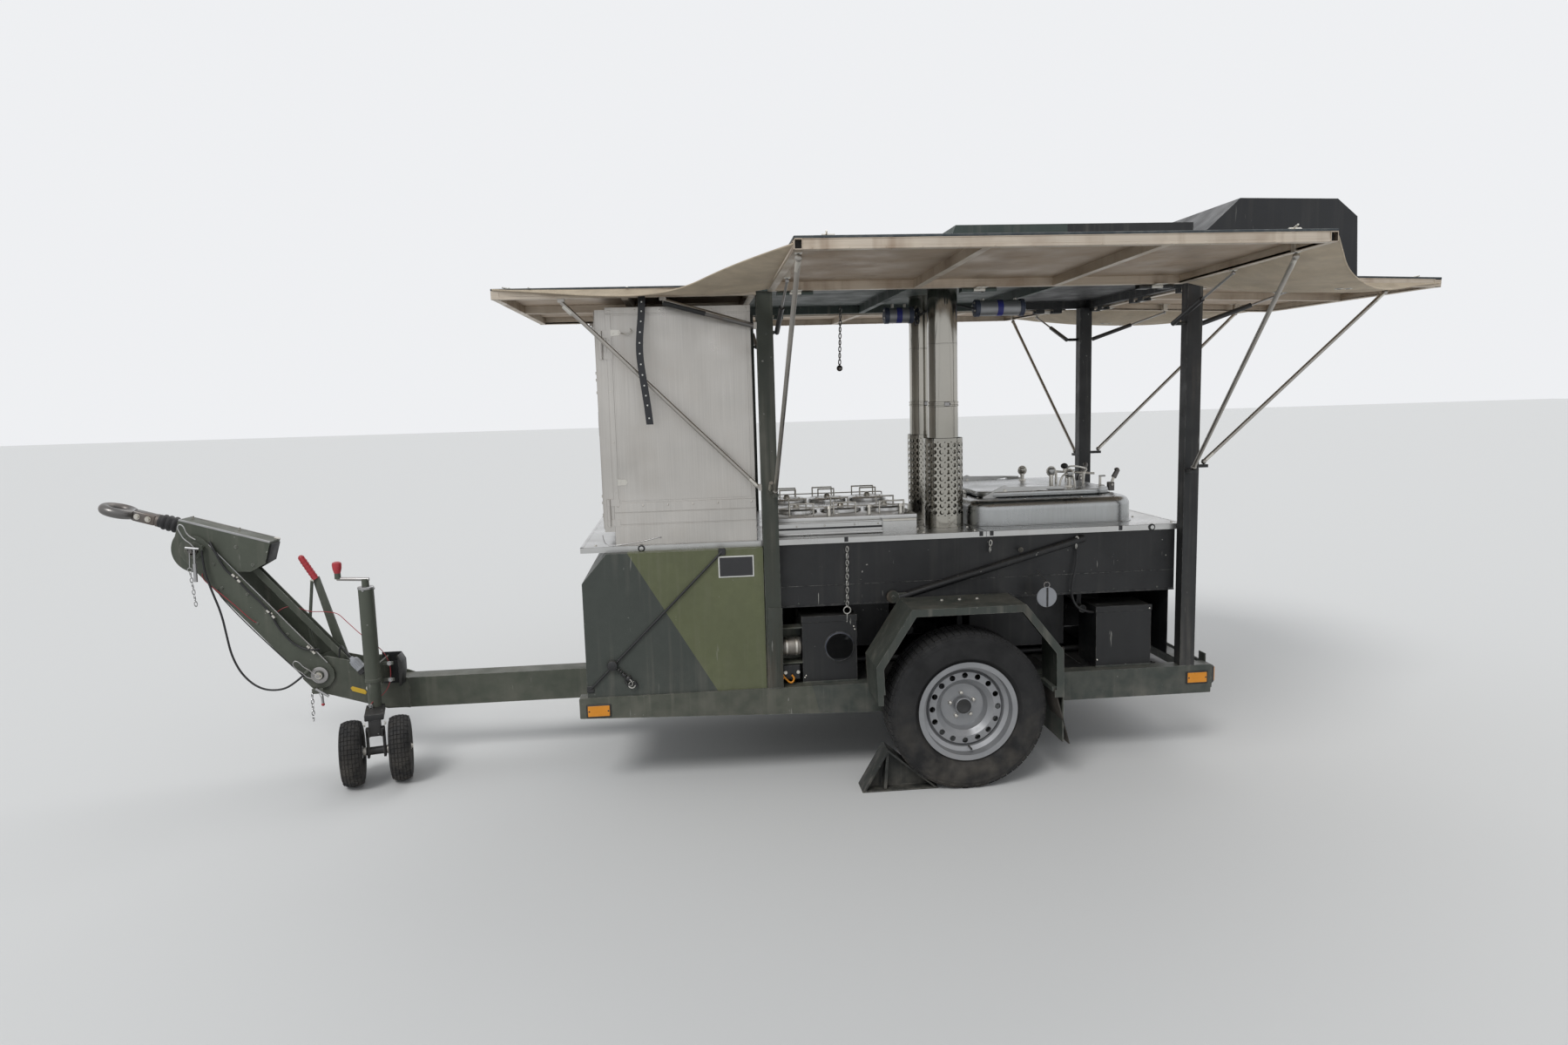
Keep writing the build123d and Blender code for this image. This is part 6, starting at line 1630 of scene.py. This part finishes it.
STRAP = (
    (-1040, -641, 1068), (-1052, -647, 1056), (-1340, -647, 773), (-1600, -647, 517), (-1634, -647, 483),
    (-1646, -641, 471)
)
strap = wire("cabinet_strap", STRAP, 5.2, "trailer", cable_black, "rubber")
bm = bmesh.new()
turned(bm, [(640, 20), (652, 24), (664, 21), (668, 12), (668, 1)], at(-1544, 0, 579), -Y, 0, 28)
for k in range(6):
    spot = at(-1528 + 9 * k, -650, 566 - 9 * k)
    ring(bm, spot, (0.7, 0, -0.7), 7.5, 3.2, 0, 18)
ball(bm, at(-1476, -650, 516), 14)
ring(bm, at(-1474, -652, 497), (0.5, 0.8, 0.3), 18, 2.8, 1, 24)
ring(bm, at(-1462, -650, 486), (0.2, 0.9, -0.4), 15, 3, 1, 24)
rod(bm, at(-1452, -650, 500), at(-1440, -650, 478), 9, 6, 0, 14)
piece("strap_buckle", bm, "trailer", plastic_black, chain_steel, slot="rubber")

# Webbing that hangs over the front flap's edge, with eyelet holes
WEBBING = (
    (-1341, -716, 2186), (-1341, -727, 2160), (-1345, -728, 2090), (-1356, -726, 2010), (-1360, -724, 1930),
    (-1352, -724, 1850), (-1342, -724, 1770), (-1334, -724, 1700), (-1329, -724, 1637),
)
web_path = line_through(wire("webbing_line", WEBBING, 0, "trailer", cable_black, "rubber"))
bm = bmesh.new()
half = X * 0.015
for a, b in zip(web_path, web_path[1:]):
    plate(bm, [a - half, a + half, b + half, b - half], 1.4)
for k in range(6, len(web_path) - 2, 5):
    rod(bm, web_path[k] - Y * 0.0004, web_path[k] - Y * 0.0022, 3.4, None, 1, 14)
webbing = piece("hanging_webbing", bm, "trailer", webbing_black, plate_white, slot="rubber")

# Under the worktop: filter, tank cap, hook, doublers, mud flaps, hanging disc, chains and drain hose

bm = bmesh.new()
turned(
    bm, [(-783, 1), (-783, 26), (-779, 38), (-770, 41.5), (-704, 41.5), (-696, 38), (-692, 26), (-692, 1)],
    at(0, -560, 603), X, 0, 40
)
for x in (-760, -716):
    turned(bm, [(x - 4, 41.5), (x - 4, 43.2), (x + 4, 43.2), (x + 4, 41.5)], at(0, -560, 603), X, 2, 40)
slabs(
    bm, (-800, -588, 688, -665, -520, 694, 2, 1), (-800, -520, 533, -665, -515, 694, 2, 1),
    (-800, -600, 533, -796, -516, 694, 1, 1), (-800, -596, 527, -665, -515, 533, 2, 1),
    (-782, -596, 452, -700, -530, 524, 6, 3),
)
for x in (-770, -712):
    bolt(bm, at(x, -596, 488), -Y, 6, 2)
turned(bm, [(600, 66), (608, 66), (612, 62), (612, 1)], at(-520, 0, 599), -Y, 4, 44)
turned(bm, [(600, 71), (603, 71), (604, 66)], at(-520, 0, 599), -Y, 3, 44)
for x0, x1, z0, z1 in ((-690, -440, 434, 742), (694, 960, 434, 722)):
    slabs(
        bm, (x0 - 3, -603, z1 - 26, x1 + 3, -597, z1 + 3, 1.5, 3),
        (x0 - 2, -602, z0, x1 + 2, -598, z0 + 8, 1, 1),
    )
for x, z in ((-682, 462), (-676, 470), (-452, 690), (-448, 676), (700, 470), (952, 706)):
    rivet(bm, at(x, -603, z), -Y, 4, 2)
piece(
    "chassis_boxes", bm, "trailer", filter_alloy, rail_green, zinc, black_paint, plastic_blue,
    slot="black_paint"
)
ORANGE_HOOK = (
    (-790, -606, 520), (-792, -612, 500), (-806, -618, 482), (-792, -620, 458), (-778, -620, 474),
    (-790, -618, 492), (-776, -618, 470), (-752, -618, 444), (-737, -616, 451), (-732, -614, 470),
    (-744, -612, 480),
)
wire("orange_hook", ORANGE_HOOK, 4.2, "trailer", orange, "black_paint")

bm = bmesh.new()
for side in (-1, 1):
    prism(bm, [(-852, 436), (-786, 436), (-782, 800), (-846, 806)], side * 650, side * 655, 7, 1)
    prism(bm, [(378, 440), (384, 440), (452, 184), (446, 184)], side * 905, side * 742, 2, 1)
    slab(bm, at(372, side * 900, 424), at(392, side * 748, 446), 2)
    for x in (-80, 0, 80):
        bolt(bm, at(x, side * 748, 822), Z, 7, 1)
    for x in (-268, 330):
        bolt(bm, at(x, side * 602, 817 if x < 0 else 1010), Y * side, 9, 7)
    rod(bm, at(-268, side * 596, 817), at(-268, side * 606, 817), 30, 27, 7, 30)
    slab(bm, at(-268, side * 596, 798), at(-205, side * 604, 836), 3, 7)
    for x in range(-700, 1001, 212):
        rivet(bm, at(x, side * 581, 802), Y * side, 4.5)
    slabs(
        bm, (-786, side * 580, 880, 1078, side * 582, 884, 0.6, 4),
        (-786, side * 580, 786, 1078, side * 584, 793, 1, 4),
    )
rods(bm, (418, -698, 804, 418, -703, 804, 44, 44, 5, 36), (418, -700, 872, 414, -586, 905, 1.8, 1.8, 3, 8))
ring(bm, at(418, -700, 804), Y, 44, 2.8, 5, 36)
slab(bm, at(416, -706, 760), at(424, -702, 848), 1, 4)
ring(bm, at(418, -700, 860), Y, 13, 1.8, 3, 24)
for x, z0, z1 in ((-475, 1062, 781), (190, 1062, 1004), (598, 1062, 1004)):
    chain(bm, at(x, -600, z0), at(x - 5, -600, z1), 24, 2.7, 6)
ring(bm, at(-481, -600, 766), Y, 16, 3, 6, 24)
rod(bm, at(-481, -600, 750), at(-483, -600, 712), 4, 3, 6, 12)
piece(
    "body_fittings", bm, "trailer", rail_green, zinc, rubber_brown, bare_steel, hood_black, plastic_grey,
    chain_steel, rusty_paint, slot="army_green"
)

DRAIN_HOSE = (
    (598, -594, 1004), (597, -604, 965), (590, -607, 910), (574, -607, 850), (570, -604, 790),
    (592, -600, 735), (640, -590, 704), (692, -572, 692)
)
drain_hose = wire("drain_hose", DRAIN_HOSE, 5.5, "trailer", black_rubber, "rubber")

# Lamps under the roof: silver tubes with bolted dark caps, on their hangers

bm = bmesh.new()
for x, y, z, length in ((-85, 60, 2130, 150), (370, -150, 2140, 250)):
    half = length / 2
    turned(
        bm, [(x - half + 18, 1), (x - half + 18, 38.5), (x + half - 18, 38.5), (x + half - 18, 1)],
        at(0, y, z), X, 0, 40
    )
    for sign in (-1, 1):
        end = x + sign * half
        turned(
            bm, [(end, 1), (end, 36), (end - sign * 3, 41.8), (end - sign * 24, 41.8), (end - sign * 24, 38)],
            at(0, y, z), X, 1, 40
        )
        for k in range(4):
            a = math.tau * k / 4 + 0.5
            bolt(bm, at(end, y + 28 * math.cos(a), z + 28 * math.sin(a)), X * sign, 4.5, 2)
        hanger = x + sign * (half - 44)
        slab(bm, at(hanger - 5, y - 12, z + 34), at(hanger + 5, y + 12, 2186), 1, 2)
    turned(bm, [(x - 14, 38.8), (x - 14, 39.5), (x + 14, 39.5), (x + 14, 38.8)], at(0, y, z), X, 3, 40)
piece(
    "work_lamps", bm, "trailer", silver, plastic_blue, zinc, blue_tape, slot="silver_paint",
    stands_for=["lamps"]
)
LAMP_LEAD = (
    (-10, 60, 2130), (20, 58, 2128), (60, 30, 2150), (130, -40, 2164), (190, -110, 2160), (225, -148, 2142),
    (246, -150, 2140)
)
lamp_lead = wire("lamp_lead", LAMP_LEAD, 3.8, "trailer", cable_black, "rubber")

# Pull chain beside the flues, and the sleeves on the stays' ends

bm = bmesh.new()
chain(bm, at(-406, -100, 2166), at(-416, -100, 1882), 24, 3)
ball(bm, at(-416, -100, 1868), 15)
piece("pull_chain", bm, "trailer", dark_steel, slot="bare_steel")


def bar_ends(bm, a, b, radius, ends=2):
    """A sleeve on each end of a bar, or on the first alone."""
    run = (b - a).normalized()
    sleeve = radius * 1.06
    for tip, way in ((a, run), (b, -run))[:ends]:
        rod(bm, tip + way * 0.012, tip + way * 0.056, sleeve, None, 1)
        rod(bm, tip + way * 0.056, tip + way * 0.062, sleeve, radius * 1.005)


for name, side, matrix in (("left", -1, LEFT_HINGE), ("right", 1, RIGHT_HINGE)):
    for place, x, out, foot_x, foot_z in (("front", -790, 1010, -822, 1330), ("rear", 1010, 870, 1116, 1370)):
        bm = bmesh.new()
        lug, foot = matrix @ mm(out, -side * (x - SIDE_X), -8), at(foot_x, side * 672, foot_z)
        bar_ends(bm, lug, foot, 9, ends=1 if place == "rear" else 2)
        piece(f"{place}_stay_ends_{name}", bm, f"{place}_stay_{name}", stay_steel, zinc, slot="bare_steel")
    bm = bmesh.new()
    inset = 214 if side < 0 else 254
    bar_ends(bm, REAR_HINGE @ mm(REAR_REACH - inset, side * 600, -8), at(1200, side * 600, 1386), 9)
    piece("back_stay_ends_" + name, bm, "back_stay_" + name, stay_steel, zinc, slot="bare_steel")
bm = bmesh.new()
for side in (-1, 1):
    bar_ends(bm, at(-1675, side * 700, 2147), at(-869, side * 636, 1345), 9)
    a, b = at(-1254, side * 700, 2147), at(-871, side * 636, 2046)
    rod(bm, a, a.lerp(b, 0.46), 12.5, None, 2, 24)
    rod(bm, a.lerp(b, 0.46), b, 11.4, None, 3, 24)
piece("front_stay_ends", bm, "trailer", stay_steel, zinc, black_paint, dark_steel, slot="bare_steel")

# Under the kitchen: a black splash tray on the cross members, with shields and burner bodies, that fills the
# dark underside as painted shade in part; and the wheel chocks

# A black sheet with shields and rods closes the space under the kitchen: partly a plausible tray, partly a
# dark fill that stands in for the shade there.
bm = bmesh.new()
slab(bm, at(-786, -577, 428.4), at(1062, 577, 430.4), 0.6)
for x in range(-700, 1001, 170):
    slab(bm, at(x - 9, -560, 430), at(x + 9, 560, 434), 2)
for y in (-300, 300):
    rod(bm, at(-786, y, 452), at(1040, y, 452), 14, None, 0, 16)
slabs(bm, (-786, 240, 432, 1060, 244, 792, 1), (1058, -560, 470, 1062, 560, 792, 1))
for x in (-700, -100, 640, 1000):
    for y in (-300, 300):
        slab(bm, at(x - 10, y - 22, 430), at(x + 10, y + 22, 468), 2, 1)
for x, y0, y1, z, radius in ((-180, -520, 520, 640, 22), (90, -470, 470, 560, 30), (660, -520, 520, 700, 18)):
    rod(bm, at(x, y0, z), at(x, y1, z), radius, None, 0, 24)
    for y in (y0 + 60, y1 - 60):
        slab(bm, at(x - 12, y - 14, z), at(x + 12, y + 14, 792), 2)
piece("splash_tray_and_shade", bm, "trailer", black_paint, zinc, slot="black_paint")

bm = bmesh.new()
TOE, HEEL, CREST = (-469, 0), (-129, 0), (-355.4, 190)
for side in (-1, 1):
    for a, b, c in ((TOE, HEEL, CREST), (HEEL, CREST, TOE), (CREST, TOE, HEEL)):
        middle = Vector((TOE[0] + HEEL[0] + CREST[0], TOE[1] + HEEL[1] + CREST[1])) / 3
        inner = [Vector(p).lerp(middle, 0.10) for p in (b, a)]
        prism(bm, [a, b, *inner], side * 741, side * 859, 0, 0.8)
    prism(bm, [Vector(p).lerp(middle, 0.06) for p in (TOE, HEEL, CREST)], side * 796, side * 801)
    prism(bm, [(-372, 10), (-360, 10), (-350, 178), (-358, 178)], side * 748, side * 852)
    for share in (0.2, 0.4, 0.6, 0.8):
        spot = Vector(HEEL).lerp(Vector(CREST), share)
        rod(bm, at(spot.x, side * 746, spot.y - 4), at(spot.x, side * 854, spot.y - 4), 4.5, None, 0, 10)
piece("chock_plates", bm, "trailer", chock_paint, slot="black_paint", stands_for=["chocks"])

# Cords

CABLE_ROUTE = (
    (-3480, -100, 1094), (-3480, -100, 1005), (-3452, -106, 905), (-3416, -108, 790), (-3402, -108, 680),
    (-3388, -108, 575), (-3345, -108, 475), (-3268, -108, 405), (-3172, -108, 396), (-3105, -104, 432),
    (-3060, -100, 472),
)
arm_cable = wire("cable_loop", CABLE_ROUTE, 5, "arm", cable_black, "rubber")
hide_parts("arm_cable")

bpy.data.meshes.remove(SCRATCH)
